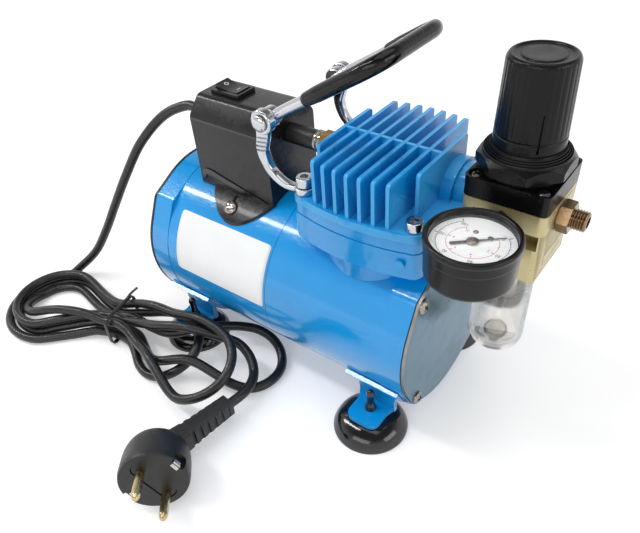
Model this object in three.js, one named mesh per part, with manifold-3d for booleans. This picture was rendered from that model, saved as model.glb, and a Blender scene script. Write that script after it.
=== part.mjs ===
// Small piston air compressor for airbrushes, with a regulator, a water trap, a gauge and a mains lead.
// Millimetres, +Z up. The floor is z = 0. Before the last shift the crankshaft lies along X over x = 0.

import * as THREE from 'three';
import { mergeVertices } from 'three/addons/utils/BufferGeometryUtils.js';
import Module from 'manifold-3d';

const wasm = await Module();
wasm.setup();

// Fits shared by the whole machine
const seat = 0.3;          // gap between two pieces that touch
const run = 0.35;          // gap round what turns or slides

// Motor barrel and crankcase
const barrelRadius = 51.5;
const underBarrel = 9.2;   // barrel above the floor
const axisHeight = barrelRadius + underBarrel; // crankshaft above the floor
const barrelWall = 3.5;
const barrelHalf = 92;     // castings end here, the covers lie outside
const seamX = 2;           // joint between the two castings
const earRise = 2.7;       // sharp corner of an ear beyond the barrel
const earRadius = barrelRadius + earRise;
const earStep = 0.3;       // the ears' ring stands proud of the barrel
const earLength = 14;
const earScrewOffset = 34.5;
const earBossRadius = 5.5;
const earScrewRadius = 2;
const earScrewHeadRadius = 3.9;
const earScrewHeadHeight = 2;
const earScrewLength = 11;
const coverThickness = 1.6;
const ventLength = 15;
const ventWidth = 4.5;
const ventAngle = 213;     // degrees, seen along -X
const ventPlaces = [-34, -14, 15];

// Shaft line
const shaftRadius = 4;
const shaftStart = -barrelHalf + 4;
const bearingRadius = 11;
const bearingWidth = 7;
const frontBearingX = 8;
const rearBearingX = -barrelHalf + 28;
const hubWall = 3;
const stackClear = 14;     // from the rear bearing's near face to the stack
const stackStart = rearBearingX + stackClear;
const stackLength = frontBearingX - 18 - stackStart;
const airGap = 0.6;
const rotorRadius = 23.5;
const windingLength = 7;
const slotDepth = 9;       // winding slots through the stack
const fanStart = shaftStart + 2;
const fanLength = 14;
const fanRadius = 40;
const fanBlades = 6;
const stroke = 12;
const crankThickness = 7;
const crankRadius = 17;
const crankPinRadius = 4;

// Cylinder, valve plate and head
const headInset = 38;      // cylinder's axis from the end of the castings
const headX = barrelHalf - headInset;
const crankInset = 16;     // crank web from the cylinder's axis
const crankStart = headX - crankInset;
const boreRadius = 19;
const boltHalf = 31.25;    // head bolts stand on a square
const boltRadius = 2.5;
const boltHeadRadius = 4.25;
const boltHeadHeight = 5;
const lobeRadius = 5.5;    // flange corner round a bolt
const flangeHalf = 41;     // flange half width in the middle of a side
const flangeBottom = 110.5;
const plateBottom = 125.3;
const headBottom = 131.3;
const flangeTop = 135.6;
const neckRadius = 36.8;
const reedThickness = 0.7;
const reedPocketLength = 17;
const spigotDepth = 15;
const finTop = 158.9;
const finPitch = 6.87;
const finThickness = 1.9;
const finHalf = 40;        // middle fin, along Y
const finBow = 88;         // radius that the fin ends follow
const outerFinHalf = 23.3;
const portHeight = headBottom + 5.7;
const outletY = 12;        // outlet port, regulator and bowl stand on this line
const outletBossRadius = 12.5;
const inletInset = 8;      // inlet boss starts inside the flange's side
const inletBossHeight = headBottom + 14.3;
const inletBossRadius = 6.8;

// Piston
const pistonTop = 123.6;
const pistonHeight = 9;
const rodWidth = 9;

// Feet
const footX = barrelHalf - 20.5;
const footY = barrelRadius - 3.8;
const cupRadius = 21.9;
const cupHeight = 11.7;
const nippleTop = 30.5;
const nippleRadius = 2.9;
const padBottom = 12;
const padThickness = 3;
const padHalf = 10;
const padReach = 11.8;     // pad beyond the cup's centre
const riserInset = 6.7;    // pad from the cup's centre to the upright
const footFlangeHalf = 17;
const footFlangeThickness = 2.6;

// Handle
const pivotX = headX - 52.4;
const pivotHeight = finTop + 10;
const pivotY = 33;         // middle of a bracket's ear
const earThickness = 5;
const bracketWidth = 7;
const bracketThickness = 3.2;
const bailRodRadius = 3;
const bailRest = 31;       // degrees above level
const bailReach = 72;      // pivot to the grip bar's axis
const bailBend = 14;
const gripRadius = 4.4;
const gripStart = 26;      // along the front arm
const gripEnd = 38;        // along the rear arm
const eyeRadius = 6.2;
const pinRadius = 2;
const pinHeadRadius = 4.2;

// Switch box
const boxLeft = -66.5;
const boxRight = -10.5;
const boxHalf = 21;
const boxTop = 160.5;
const boxWall = 1.6;
const boxChamferY = 9;
const boxChamferZ = 9.7;
const bandRise = 0.7;      // raised band on the box's front and back
const saddleX = -33;
const saddleHalf = 24;
const saddleReach = 13.6;
const saddleScrewY = 28.9;
const switchX = -50.2;
const bezelLength = 21;
const bezelWidth = 15;
const bezelThickness = 1.8;
const switchBodyLength = 19;
const switchBodyWidth = 12.6;
const switchBodyDepth = 15;
const rockerLength = 16.4;
const rockerWidth = 10.2;
const rockerTilt = 7;
const glandHeight = 143;
const cordRadius = 3.1;
const glandLength = 22;
const glandRadius = 5.2;

// Regulator, water trap and gauge
const regulatorX = barrelHalf + 23.7;
const regulatorHalf = 20;
const regulatorCorner = 3.5;
const regulatorBottom = portHeight - 28;
const bonnetBottom = portHeight + 8.9;
const bonnetHeight = 9.8;
const portRadius = 4.86;
const nutFlats = 22.2;
const nutHeight = 6.5;
const neckThreadRadius = 15.4;
const guideRadius = 12.2;  // neck inside the knob
const knobBottom = bonnetBottom + 23;
const knobTop = knobBottom + 38;
const knobBottomRadius = 16.3;
const knobTopRadius = 15;
const knobWall = 2.2;
const knobLift = 3;
const knobSocket = 14;     // spindle's socket under the knob's top
const bonnetScrewHalf = 15.4;
const nippleHexRadius = 7.2;
const outletLength = 12.3;
const sumpDepth = 21;      // hollow over the bowl
const bowlRadius = 14.6;
const bowlWall = 1.8;
const bowlBottom = regulatorBottom - 61.4;
const gaugeY = -36.9;
const gaugeTop = portHeight + 11.5;
const gaugeRadius = 20.9;
const gaugeHeight = 21.4;
const gaugeWall = 2.4;
const dialDepth = 5;       // dial's seat under the rim
const needleZero = 40;     // degrees, the needle at rest

// Lead, hank and plug
const tieX = -115;         // where the hank is tied
const tieY = -77;
const tieTurn = 11;        // degrees, run of the strands at the tie
const tieBand = 1.2;
const tieWidth = 3;
const strandPitch = 7.3;   // between two strands that lie side by side
const strandClear = 7.2;   // between the middles of two strands that cross
const strandBeside = 6.85; // strands further apart in plan lie side by side
const humpSlope = 0.32;    // steepest climb over another strand
const sampleStep = 3;
const joinSteps = 10;      // steps near a strand's end that don't count as lying under the next
const foldX = -176;        // left folds of the hank
const foldY = -89;
const outerFold = 35;
const plugRadius = 18.8;
const plugDepth = 25;
const plugFace = [8.9, -155.5];
const plugTurn = -46;      // degrees, the way the pins point
const plugTilt = 12;       // degrees, the face looks up a little
const pinLineTurn = -58;   // degrees, line of the two pins on the face
const pinGap = 19;
const plugPinRadius = 2.4;
const plugPinLength = 19;
const reliefEnd = [-0.5, -91];
const reliefHeight = 12.5;
const reliefLength = 42;

// Solids from three.js shapes

// A geometry's closed surface as a solid, with its faces turned out.
function solid(geometry) {
  const bare = geometry.clone();
  bare.deleteAttribute('normal');
  bare.deleteAttribute('uv');
  const merged = mergeVertices(bare, 1e-4);
  const places = merged.attributes.position.array;
  const kept = [];
  for (let i = 0; i < merged.index.count; i += 3) {
    const [a, b, c] = [0, 1, 2].map((k) => merged.index.getX(i + k));
    if (a !== b && b !== c && c !== a) kept.push([a, b, c]);
  }
  const corner = (i) => new THREE.Vector3().fromArray(places, 3 * i);
  const volume = kept.reduce((sum, [a, b, c]) => sum + corner(a).dot(corner(b).cross(corner(c))), 0);
  const faces = volume < 0 ? kept.map(([a, b, c]) => [a, c, b]) : kept;
  const triVerts = new Uint32Array(faces.flat());
  return new wasm.Manifold(new wasm.Mesh({ numProp: 3, vertProperties: places, triVerts }));
}

function join(first, ...rest) {
  return rest.reduce((sum, piece) => sum.add(piece), first);
}

function cut(first, ...rest) {
  return rest.reduce((left, piece) => left.subtract(piece), first);
}

function surface(piece) {
  const mesh = piece.getMesh();
  const geometry = new THREE.BufferGeometry();
  geometry.setAttribute('position', new THREE.BufferAttribute(new Float32Array(mesh.vertProperties), 3));
  geometry.setIndex(new THREE.BufferAttribute(new Uint32Array(mesh.triVerts), 1));
  geometry.computeVertexNormals();
  return geometry;
}

// A geometry drawn in its own axes and laid into the machine by three axis directions and a place.
function laid(geometry, xAxis, yAxis, zAxis, place) {
  const frame = new THREE.Matrix4().makeBasis(xAxis, yAxis, zAxis).setPosition(place);
  return solid(geometry.clone().applyMatrix4(frame));
}

const X = new THREE.Vector3(1, 0, 0);
const Y = new THREE.Vector3(0, 1, 0);
const Z = new THREE.Vector3(0, 0, 1);

function at(x, y, z) {
  return new THREE.Vector3(x, y, z);
}

function block(x0, x1, y0, y1, z0, z1) {
  const box = new THREE.BoxGeometry(x1 - x0, y1 - y0, z1 - z0);
  return solid(box.translate((x0 + x1) / 2, (y0 + y1) / 2, (z0 + z1) / 2));
}

function drawn(shape, depth, steps = 8) {
  return new THREE.ExtrudeGeometry(shape, { depth, bevelEnabled: false, curveSegments: steps });
}

// A shape drawn in (y, z), stretched along X.
function alongX(shape, x0, x1, steps) {
  return laid(drawn(shape, x1 - x0, steps), Y, Z, X, at(x0, 0, 0));
}

// A shape drawn in (z, x), stretched along Y.
function alongY(shape, y0, y1, steps) {
  return laid(drawn(shape, y1 - y0, steps), Z, X, Y, at(0, y0, 0));
}

// A shape drawn in (x, y), stretched along Z.
function alongZ(shape, z0, z1, steps) {
  return laid(drawn(shape, z1 - z0, steps), X, Y, Z, at(0, 0, z0));
}

// A profile of [radius, height] pairs turned round an axis that starts at a place.
function turned(profile, place, axis = Z, sides = 16) {
  const points = profile.map(([radius, height]) => new THREE.Vector2(radius, height));
  const lathe = new THREE.LatheGeometry(points, sides);
  lathe.applyQuaternion(new THREE.Quaternion().setFromUnitVectors(Y, axis));
  return solid(lathe.translate(place.x, place.y, place.z));
}

function rod(radius, length, place, axis = Z, sides = 16) {
  return turned([[0, 0], [radius, 0], [radius, length], [0, length]], place, axis, sides);
}

function ring(outer, inner, length, place, axis = Z, sides = 16) {
  const profile = [[inner, 0], [outer, 0], [outer, length], [inner, length], [inner, 0]];
  return turned(profile, place, axis, sides);
}

function disc(radius, u = 0, v = 0) {
  return new THREE.Shape().absarc(u, v, radius, 0, 2 * Math.PI, false);
}

function roundedBox(halfU, halfV, radius, u = 0, v = 0) {
  const shape = new THREE.Shape();
  const corners = [[1, 1, 0], [-1, 1, 1], [-1, -1, 2], [1, -1, 3]];
  for (const [signU, signV, quarter] of corners) {
    const start = quarter * Math.PI / 2;
    const centreU = u + signU * (halfU - radius);
    const centreV = v + signV * (halfV - radius);
    shape.absarc(centreU, centreV, radius, start, start + Math.PI / 2, false);
  }
  return shape;
}

function bevelled(halfU, halfV, bevel) {
  const edges = [[1, 1], [-1, 1], [-1, -1], [1, -1]];
  const round = edges.flatMap(([u, v]) => {
    const first = [u * halfU, v * (halfV - bevel)];
    const second = [u * (halfU - bevel), v * halfV];
    return u * v > 0 ? [first, second] : [second, first];
  });
  return polygon(round);
}

function polygon(points) {
  return new THREE.Shape(points.map(([u, v]) => new THREE.Vector2(u, v)));
}

function sided(count, acrossFlats, turn = 0) {
  const radius = acrossFlats / Math.cos(Math.PI / count);
  const corners = [];
  for (let i = 0; i < count; i += 1) {
    const angle = turn + (i + 0.5) * 2 * Math.PI / count;
    corners.push([radius * Math.cos(angle), radius * Math.sin(angle)]);
  }
  return polygon(corners);
}

// A round tube along a smooth curve.
function tube(curve, radius, steps, sides, bore = 0) {
  const section = sided(sides, radius * Math.cos(Math.PI / sides));
  if (bore > 0) section.holes.push(sided(sides, bore * Math.cos(Math.PI / sides)));
  return solid(new THREE.ExtrudeGeometry(section, { steps, extrudePath: curve, bevelEnabled: false }));
}

// Places on the four corners of a square, as [x, y] signs
const corners = [[-1, -1], [1, -1], [1, 1], [-1, 1]];

// Finishes, each used by several pieces
const finishes = {
  bluePaint: { color: 0x2196dc, roughness: 0.25, metalness: 0.1 },
  blackPlastic: { color: 0x1e1c1e, roughness: 0.45, metalness: 0 },
  boxPaint: { color: 0x2b2b2d, roughness: 0.4, metalness: 0.1 },
  rubber: { color: 0x121212, roughness: 0.25, metalness: 0 },
  steel: { color: 0xb9bcc0, roughness: 0.35, metalness: 1 },
  chrome: { color: 0xd8d8da, roughness: 0.12, metalness: 1 },
  brass: { color: 0xb8862d, roughness: 0.3, metalness: 1 },
  bronze: { color: 0x9c7b52, roughness: 0.3, metalness: 1 },
  gold: { color: 0xa89a6c, roughness: 0.4, metalness: 0.7 },
  plate: { color: 0x6c8c9e, roughness: 0.25, metalness: 0.8 },
  iron: { color: 0x55565a, roughness: 0.6, metalness: 0.8 },
  copper: { color: 0xa4572c, roughness: 0.4, metalness: 0.9 },
  alloy: { color: 0xa7a9ac, roughness: 0.45, metalness: 0.9 },
  clear: { color: 0xe8eef0, roughness: 0.08, metalness: 0, transparent: true, opacity: 0.35 },
  dial: { color: 0xf1f0ee, roughness: 0.6, metalness: 0 },
  felt: { color: 0xe6e2d8, roughness: 0.9, metalness: 0 },
  cable: { color: 0x1a1819, roughness: 0.4, metalness: 0 },
};

const machine = new THREE.Group();

function add(name, piece, finish, group = machine) {
  const mesh = new THREE.Mesh(surface(piece), new THREE.MeshStandardMaterial(finishes[finish]));
  mesh.name = name;
  group.add(mesh);
  return mesh;
}

// Barrel castings

// The barrel's outline with a sharp corner at each 45 degrees, made by two tangents.
function earOutline(grow = 0) {
  const radius = barrelRadius + grow;
  const tip = earRadius + grow;
  const half = Math.acos(radius / tip);
  const shape = new THREE.Shape();
  for (let side = 0; side < 4; side += 1) {
    const corner = (side + 0.5) * Math.PI / 2;
    const next = corner + Math.PI / 2;
    if (side === 0) shape.moveTo(tip * Math.cos(corner), axisHeight + tip * Math.sin(corner));
    shape.absarc(0, axisHeight, radius, corner + half, next - half, false);
    shape.lineTo(tip * Math.cos(next), axisHeight + tip * Math.sin(next));
  }
  return shape;
}

// What stays free round the ears of both castings
function earClearances() {
  const outline = earOutline(earStep + seat);
  const start = barrelHalf - earLength - seat;
  const right = alongX(outline, start, barrelHalf + earLength, 5);
  return [right, right.mirror([1, 0, 0])];
}

function barrel(radius, x0, x1, sides = 40) {
  return rod(radius, x1 - x0, at(x0, 0, axisHeight), X, sides);
}

// A slot through the barrel wall, along X, at an angle round the crankshaft.
function ventSlot(x, angle) {
  const turn = THREE.MathUtils.degToRad(angle);
  const out = at(0, Math.cos(turn), Math.sin(turn));
  const across = new THREE.Vector3().crossVectors(out, X);
  const shape = bevelled(ventLength / 2, ventWidth / 2, 1.2);
  const start = at(x, 0, axisHeight).addScaledVector(out, barrelRadius - 3 * barrelWall);
  return laid(drawn(shape, 6 * barrelWall, 1), X, across, out, start);
}

function castingShell(x0, x1, earX0, earX1) {
  const outer = join(barrel(barrelRadius, x0, x1), alongX(earOutline(earStep), earX0, earX1, 5));
  const bosses = corners.map(([y, z]) => rod(
    earBossRadius, earX1 - earX0, at(earX0, y * earScrewOffset, axisHeight + z * earScrewOffset), X, 8));
  const cavity = cut(barrel(barrelRadius - barrelWall, x0 - 1, x1 + 1, 32), ...bosses);
  const holes = corners.map(([y, z]) => rod(
    earScrewRadius + seat, earX1 - earX0 + 2,
    at(earX0 - 1, y * earScrewOffset, axisHeight + z * earScrewOffset), X, 8));
  const vents = ventPlaces.filter((x) => x > x0 && x < x1).flatMap(
    (x) => [ventSlot(x, ventAngle), ventSlot(x, 540 - ventAngle)]);
  return cut(outer, cavity, ...holes, ...vents);
}

function makeCastings() {
  const motorCasting = castingShell(-barrelHalf, seamX - seat / 2, -barrelHalf, -barrelHalf + earLength);
  const saddleHoles = [-1, 1].map((side) => rod(
    earScrewRadius + seat, 4 * barrelWall, saddleScrewSeat(side, -3 * barrelWall), saddleNormal(side), 8));
  add('motor_housing', cut(motorCasting, ...saddleHoles), 'bluePaint');

  const crankcase = castingShell(seamX + seat / 2, barrelHalf, barrelHalf - earLength, barrelHalf);
  const wallX = frontBearingX - hubWall;
  const bulkhead = barrel(barrelRadius - barrelWall + 0.5, wallX, wallX + hubWall + 1, 32);
  const hub = rod(bearingRadius + hubWall + seat, bearingWidth + hubWall,
    at(wallX, 0, axisHeight), X, 20);
  const hubBore = rod(bearingRadius + seat, bearingWidth + hubWall, at(frontBearingX, 0, axisHeight), X, 20);
  const shaftHole = rod(shaftRadius + 1, hubWall + 2, at(wallX - 1, 0, axisHeight), X, 12);
  const airways = [0, 1, 2, 3].map((i) => {
    const angle = i * Math.PI / 2 + Math.PI / 4;
    return rod(9, hubWall + 4, at(wallX - 1, 30 * Math.cos(angle), axisHeight + 30 * Math.sin(angle)), X, 10);
  });
  const mouth = rod(boreRadius + 3 + 2 * seat, barrelRadius, at(headX, 0, axisHeight + 20), Z, 24);
  add('crankcase_housing', cut(join(crankcase, bulkhead, hub), hubBore, shaftHole, ...airways, mouth),
    'bluePaint');
}

// Which way the saddle screws point, and where their seats are on the barrel
function saddleNormal(side) {
  const up = Math.sqrt(barrelRadius ** 2 - saddleScrewY ** 2);
  return at(0, side * saddleScrewY, up).normalize();
}

function saddleScrewSeat(side, out) {
  return at(saddleX - 2.7, 0, axisHeight).addScaledVector(saddleNormal(side), barrelRadius + out);
}

// A pan-head screw whose head stands on a place, with a driver socket.
function panScrew(place, axis, headRadius, headHeight, shankRadius, shankLength) {
  const profile = [[0, -shankLength], [shankRadius, -shankLength], [shankRadius, 0], [headRadius, 0],
    [headRadius * 0.8, headHeight], [0, headHeight]];
  const socket = new THREE.BoxGeometry(headRadius * 0.6, headRadius * 0.6, headHeight).rotateZ(0.4);
  socket.translate(0, 0, headHeight);
  socket.applyQuaternion(new THREE.Quaternion().setFromUnitVectors(Z, axis));
  return cut(turned(profile, place, axis, 8), solid(socket.translate(place.x, place.y, place.z)));
}

function makeCovers() {
  const coverScrews = (faceX, axis) => corners.map(([y, z]) => panScrew(
    at(faceX, y * earScrewOffset, axisHeight + z * earScrewOffset), axis,
    earScrewHeadRadius, earScrewHeadHeight, earScrewRadius, earScrewLength));
  const frontX = barrelHalf + seat;
  const front = alongX(earOutline(-0.6), frontX, frontX + coverThickness, 5);
  add('end_plate', join(front, ...coverScrews(frontX + coverThickness, X)), 'plate');

  const rearX = -barrelHalf - seat - coverThickness;
  const rear = alongX(earOutline(0.5), rearX, rearX + coverThickness, 5);
  const slots = [];
  for (let row = -3; row <= 3; row += 1) {
    const z = row * 10;
    const half = Math.sqrt((barrelRadius - 14) ** 2 - z ** 2);
    slots.push(block(rearX - 1, rearX + coverThickness + 1, -half, half,
      axisHeight + z - 2, axisHeight + z + 2));
  }
  const bar = block(rearX, rearX + coverThickness, -2, 2, axisHeight - 40, axisHeight + 40);
  const rearScrews = coverScrews(rearX, X.clone().negate());
  add('rear_cover', join(cut(rear, ...slots), bar, ...rearScrews), 'blackPlastic');
}

// Motor on its shaft

function makeMotor() {
  const shaftEnd = crankStart + crankThickness;
  add('motor_shaft', rod(shaftRadius, shaftEnd - shaftStart, at(shaftStart, 0, axisHeight), X), 'steel');

  const bearing = (x) => ring(
    bearingRadius, shaftRadius + seat, bearingWidth - seat, at(x + seat, 0, axisHeight), X);
  add('front_bearing', bearing(frontBearingX), 'steel');
  add('rear_bearing', bearing(rearBearingX), 'steel');

  const rim = ring(barrelRadius - barrelWall - seat, barrelRadius - 2.2 * barrelWall, hubWall + 1,
    at(rearBearingX - hubWall, 0, axisHeight), X, 24);
  const hub = rod(bearingRadius + hubWall, bearingWidth + hubWall,
    at(rearBearingX - hubWall, 0, axisHeight), X);
  const arms = [0, 1, 2].map((i) => {
    const arm = new THREE.BoxGeometry(hubWall + 1, 9, barrelRadius - 2 * barrelWall);
    arm.translate(0, 0, (barrelRadius - 2 * barrelWall) / 2).rotateX(i * 2 * Math.PI / 3);
    return solid(arm.translate(rearBearingX - hubWall + (hubWall + 1) / 2, 0, axisHeight));
  });
  const seatBore = rod(bearingRadius + seat, 2 * bearingWidth, at(rearBearingX, 0, axisHeight), X);
  const through = rod(shaftRadius + 1, 2 * hubWall, at(rearBearingX - 1.5 * hubWall, 0, axisHeight), X);
  add('rear_bearing_bracket', cut(join(rim, hub, ...arms), seatBore, through), 'alloy');

  const stackPlace = at(stackStart, 0, axisHeight);
  const stackOuter = barrelRadius - barrelWall - seat;
  const coilStart = stackStart - windingLength;
  const coilLength = stackLength + 2 * windingLength;
  const slotBars = (start, length, gap) => [0, 1, 2, 3].map((i) => {
    const bar = new THREE.BoxGeometry(length, 8 + 2 * gap, slotDepth + 2 * gap);
    bar.translate(start + length / 2, 0, rotorRadius + 4 + slotDepth / 2).rotateX((i + 0.5) * Math.PI / 2);
    return solid(bar.translate(0, 0, axisHeight));
  });
  const stack = ring(stackOuter, rotorRadius + airGap, stackLength, stackPlace, X, 32);
  add('stator', cut(stack, ...slotBars(stackStart - 1, stackLength + 2, seat)), 'iron');
  const windings = [coilStart, stackStart + stackLength + seat].map((x) => ring(
    stackOuter - 7, rotorRadius + 3, windingLength - seat, at(x, 0, axisHeight), X, 24));
  add('stator_windings', join(...windings, ...slotBars(coilStart + 1, coilLength - 2, 0)), 'copper');
  add('rotor', ring(rotorRadius, shaftRadius + seat, stackLength + 2,
    at(stackStart - 1, 0, axisHeight), X, 24), 'alloy');

  const fanHub = ring(9, shaftRadius + seat, fanLength, at(fanStart, 0, axisHeight), X);
  const blades = [];
  for (let i = 0; i < fanBlades; i += 1) {
    const blade = new THREE.BoxGeometry(fanLength, 1.6, fanRadius - 7);
    blade.rotateZ(0.5).translate(0, 0, (fanRadius + 7) / 2).rotateX(i * 2 * Math.PI / fanBlades);
    blades.push(solid(blade.translate(fanStart + fanLength / 2, 0, axisHeight)));
  }
  add('cooling_fan', join(fanHub, ...blades), 'blackPlastic');
}

// Crank, piston and cylinder

function makePiston() {
  const throwHeight = axisHeight + stroke / 2;
  const web = rod(crankRadius, crankThickness, at(crankStart, 0, axisHeight), X, 20);
  const lighten = block(crankStart - 1, crankStart + crankThickness + 1, -crankRadius, -7,
    axisHeight + 4, axisHeight + crankRadius);
  const otherSide = block(crankStart - 1, crankStart + crankThickness + 1, 7, crankRadius,
    axisHeight + 4, axisHeight + crankRadius);
  const shaftBore = rod(shaftRadius + seat, crankThickness + 2, at(crankStart - 1, 0, axisHeight), X);
  const rodBack = headX - rodWidth / 2;
  const webFace = crankStart + crankThickness;
  const pin = rod(crankPinRadius, rodBack - run - webFace + 0.5, at(webFace - 0.5, 0, throwHeight), X);
  add('crank', cut(join(cut(web, lighten, otherSide), pin), shaftBore), 'iron');

  const bigEnd = rod(9, rodWidth, at(rodBack, 0, throwHeight), X);
  const eye = rod(crankPinRadius + seat, rodWidth + 2, at(rodBack - 1, 0, throwHeight), X);
  const underPiston = pistonTop - pistonHeight;
  const blade = block(rodBack + 2, rodBack + rodWidth - 2, -5, 5, throwHeight + 6, underPiston + 1);
  const ribs = [-6.5, 4.5].map((y) => block(
    rodBack, rodBack + rodWidth, y, y + 2, throwHeight + 5, underPiston + 1));

  const crownRadius = boreRadius - run;
  const crown = turned([[0, 0], [crownRadius - 1, 0], [crownRadius - 1, pistonHeight - 3],
    [crownRadius, pistonHeight - 2.4], [crownRadius, pistonHeight], [0, pistonHeight]],
  at(headX, 0, underPiston), Z, 24);
  add('rocking_piston', join(cut(join(bigEnd, blade, ...ribs), eye), crown), 'alloy');
}

// Flange outline: bowed sides between four round lobes that hold the bolts.
function flangeOutline() {
  const shape = new THREE.Shape();
  const edge = boltHalf + lobeRadius;
  const pull = 2 * flangeHalf - edge;
  shape.moveTo(-boltHalf, -edge);
  const sides = [[0, -1], [1, 0], [0, 1], [-1, 0]];
  sides.forEach(([u, v], i) => {
    const next = sides[(i + 1) % 4];
    const endU = u * edge + next[0] * boltHalf;
    const endV = v * edge + next[1] * boltHalf;
    shape.quadraticCurveTo(u * pull, v * pull, endU, endV);
    const start = (i - 1) * Math.PI / 2;
    const lobeU = (u + next[0]) * boltHalf;
    const lobeV = (v + next[1]) * boltHalf;
    shape.absarc(lobeU, lobeV, lobeRadius, start, start + Math.PI / 2, false);
  });
  return shape;
}

function flange(z0, z1) {
  return alongZ(flangeOutline(), z0, z1, 4).translate([headX, 0, 0]);
}

function boltHoles(z0, z1) {
  return corners.map(([x, y]) => rod(
    boltRadius + seat, z1 - z0, at(headX + x * boltHalf, y * boltHalf, z0), Z, 10));
}

function makeCylinder() {
  const top = plateBottom - seat;
  const body = flange(flangeBottom, top);
  const neck = rod(neckRadius, flangeBottom - axisHeight, at(headX, 0, axisHeight), Z, 32);
  const sideWall = block(headX - flangeHalf + 1.5, headX, -27, 27, axisHeight, flangeBottom);
  const outside = cut(join(body, neck, sideWall), barrel(barrelRadius + seat, 0, barrelHalf),
    ...earClearances());
  const mouthHeight = axisHeight + Math.sqrt(barrelRadius ** 2 - (boreRadius + 3) ** 2);
  const spigotBottom = mouthHeight - spigotDepth;
  const spigot = rod(boreRadius + 3, top - spigotBottom, at(headX, 0, spigotBottom), Z, 24);
  const bore = rod(boreRadius, top, at(headX, 0, axisHeight), Z, 24);
  add('cylinder', cut(join(outside, spigot), bore, ...boltHoles(flangeBottom - 1, top + 1)), 'bluePaint');

  const ports = [-1, 1].flatMap((side) => [-3, 3].map((y) => rod(
    1.5, headBottom - plateBottom, at(headX + side * 9, y, plateBottom - 1), Z, 8)));
  const plateHoles = boltHoles(plateBottom - 1, headBottom + 1);
  add('valve_plate', cut(flange(plateBottom, headBottom - seat), ...plateHoles, ...ports), 'bluePaint');

  const reed = (x, z) => alongZ(roundedBox(7, 5, 2, x, 0), z, z + reedThickness, 3);
  add('intake_reed', reed(headX - 8, plateBottom - seat - reedThickness), 'steel');
  add('outlet_reed', reed(headX + 8, headBottom), 'steel');
}

function makeHead() {
  const base = flange(headBottom, flangeTop);
  const fins = [];
  for (let i = -4; i <= 4; i += 1) {
    const x = headX + i * finPitch;
    const half = Math.abs(i) === 4 ? outerFinHalf : finHalf - (i * finPitch) ** 2 / (2 * finBow);
    fins.push(block(x - finThickness / 2, x + finThickness / 2, -half, half, flangeTop - 1, finTop));
  }
  const reach = 4 * finPitch;
  const web = block(headX - reach, headX + reach, -finThickness / 2, finThickness / 2, flangeTop - 1, finTop);
  const bossEnd = regulatorX - regulatorHalf - seat;
  const outletBoss = cut(
    rod(outletBossRadius, bossEnd - headX - reach + 5, at(headX + reach - 5, outletY, portHeight), X, 24),
    block(headX, bossEnd + 1, -flangeHalf, flangeHalf, headBottom - 20, headBottom + seat));
  const inletStart = headX - flangeHalf + inletInset;
  const inletBoss = rod(inletBossRadius, headX - reach - inletStart + 2,
    at(inletStart, 0, inletBossHeight), X, 16);
  const outletBore = rod(portRadius + seat, 12, at(bossEnd - 10, outletY, portHeight), X, 14);
  const inletBore = rod(portRadius + seat, 12, at(inletStart - 1, 0, inletBossHeight), X, 20);
  const reedPocket = block(headX, headX + reedPocketLength, -7, 7, headBottom - 1, headBottom + 1.6);
  const whole = join(base, ...fins, web, outletBoss, inletBoss);
  const headHoles = boltHoles(headBottom - 1, flangeTop + 1);
  add('cylinder_head', cut(whole, outletBore, inletBore, reedPocket, ...headHoles), 'bluePaint');

  const names = ['front_left', 'front_right', 'rear_right', 'rear_left'];
  corners.forEach(([x, y], i) => {
    const lift = x < 0 ? bracketThickness + 2 * seat : seat;
    const place = at(headX + x * boltHalf, y * boltHalf, flangeTop + lift);
    const shank = place.z - flangeBottom - 1;
    const bolt = turned([[0, -shank], [boltRadius, -shank], [boltRadius, 0], [boltHeadRadius, 0],
      [boltHeadRadius, boltHeadHeight - 0.6], [boltHeadRadius - 0.6, boltHeadHeight], [0, boltHeadHeight]],
    place, Z, 14);
    const key = alongZ(sided(6, 2), place.z + boltHeadHeight - 2.5, place.z + boltHeadHeight + 1);
    add(`head_bolt_${names[i]}`, cut(bolt, key.translate([place.x, place.y, 0])), 'chrome');
  });
}

// Feet

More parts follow.
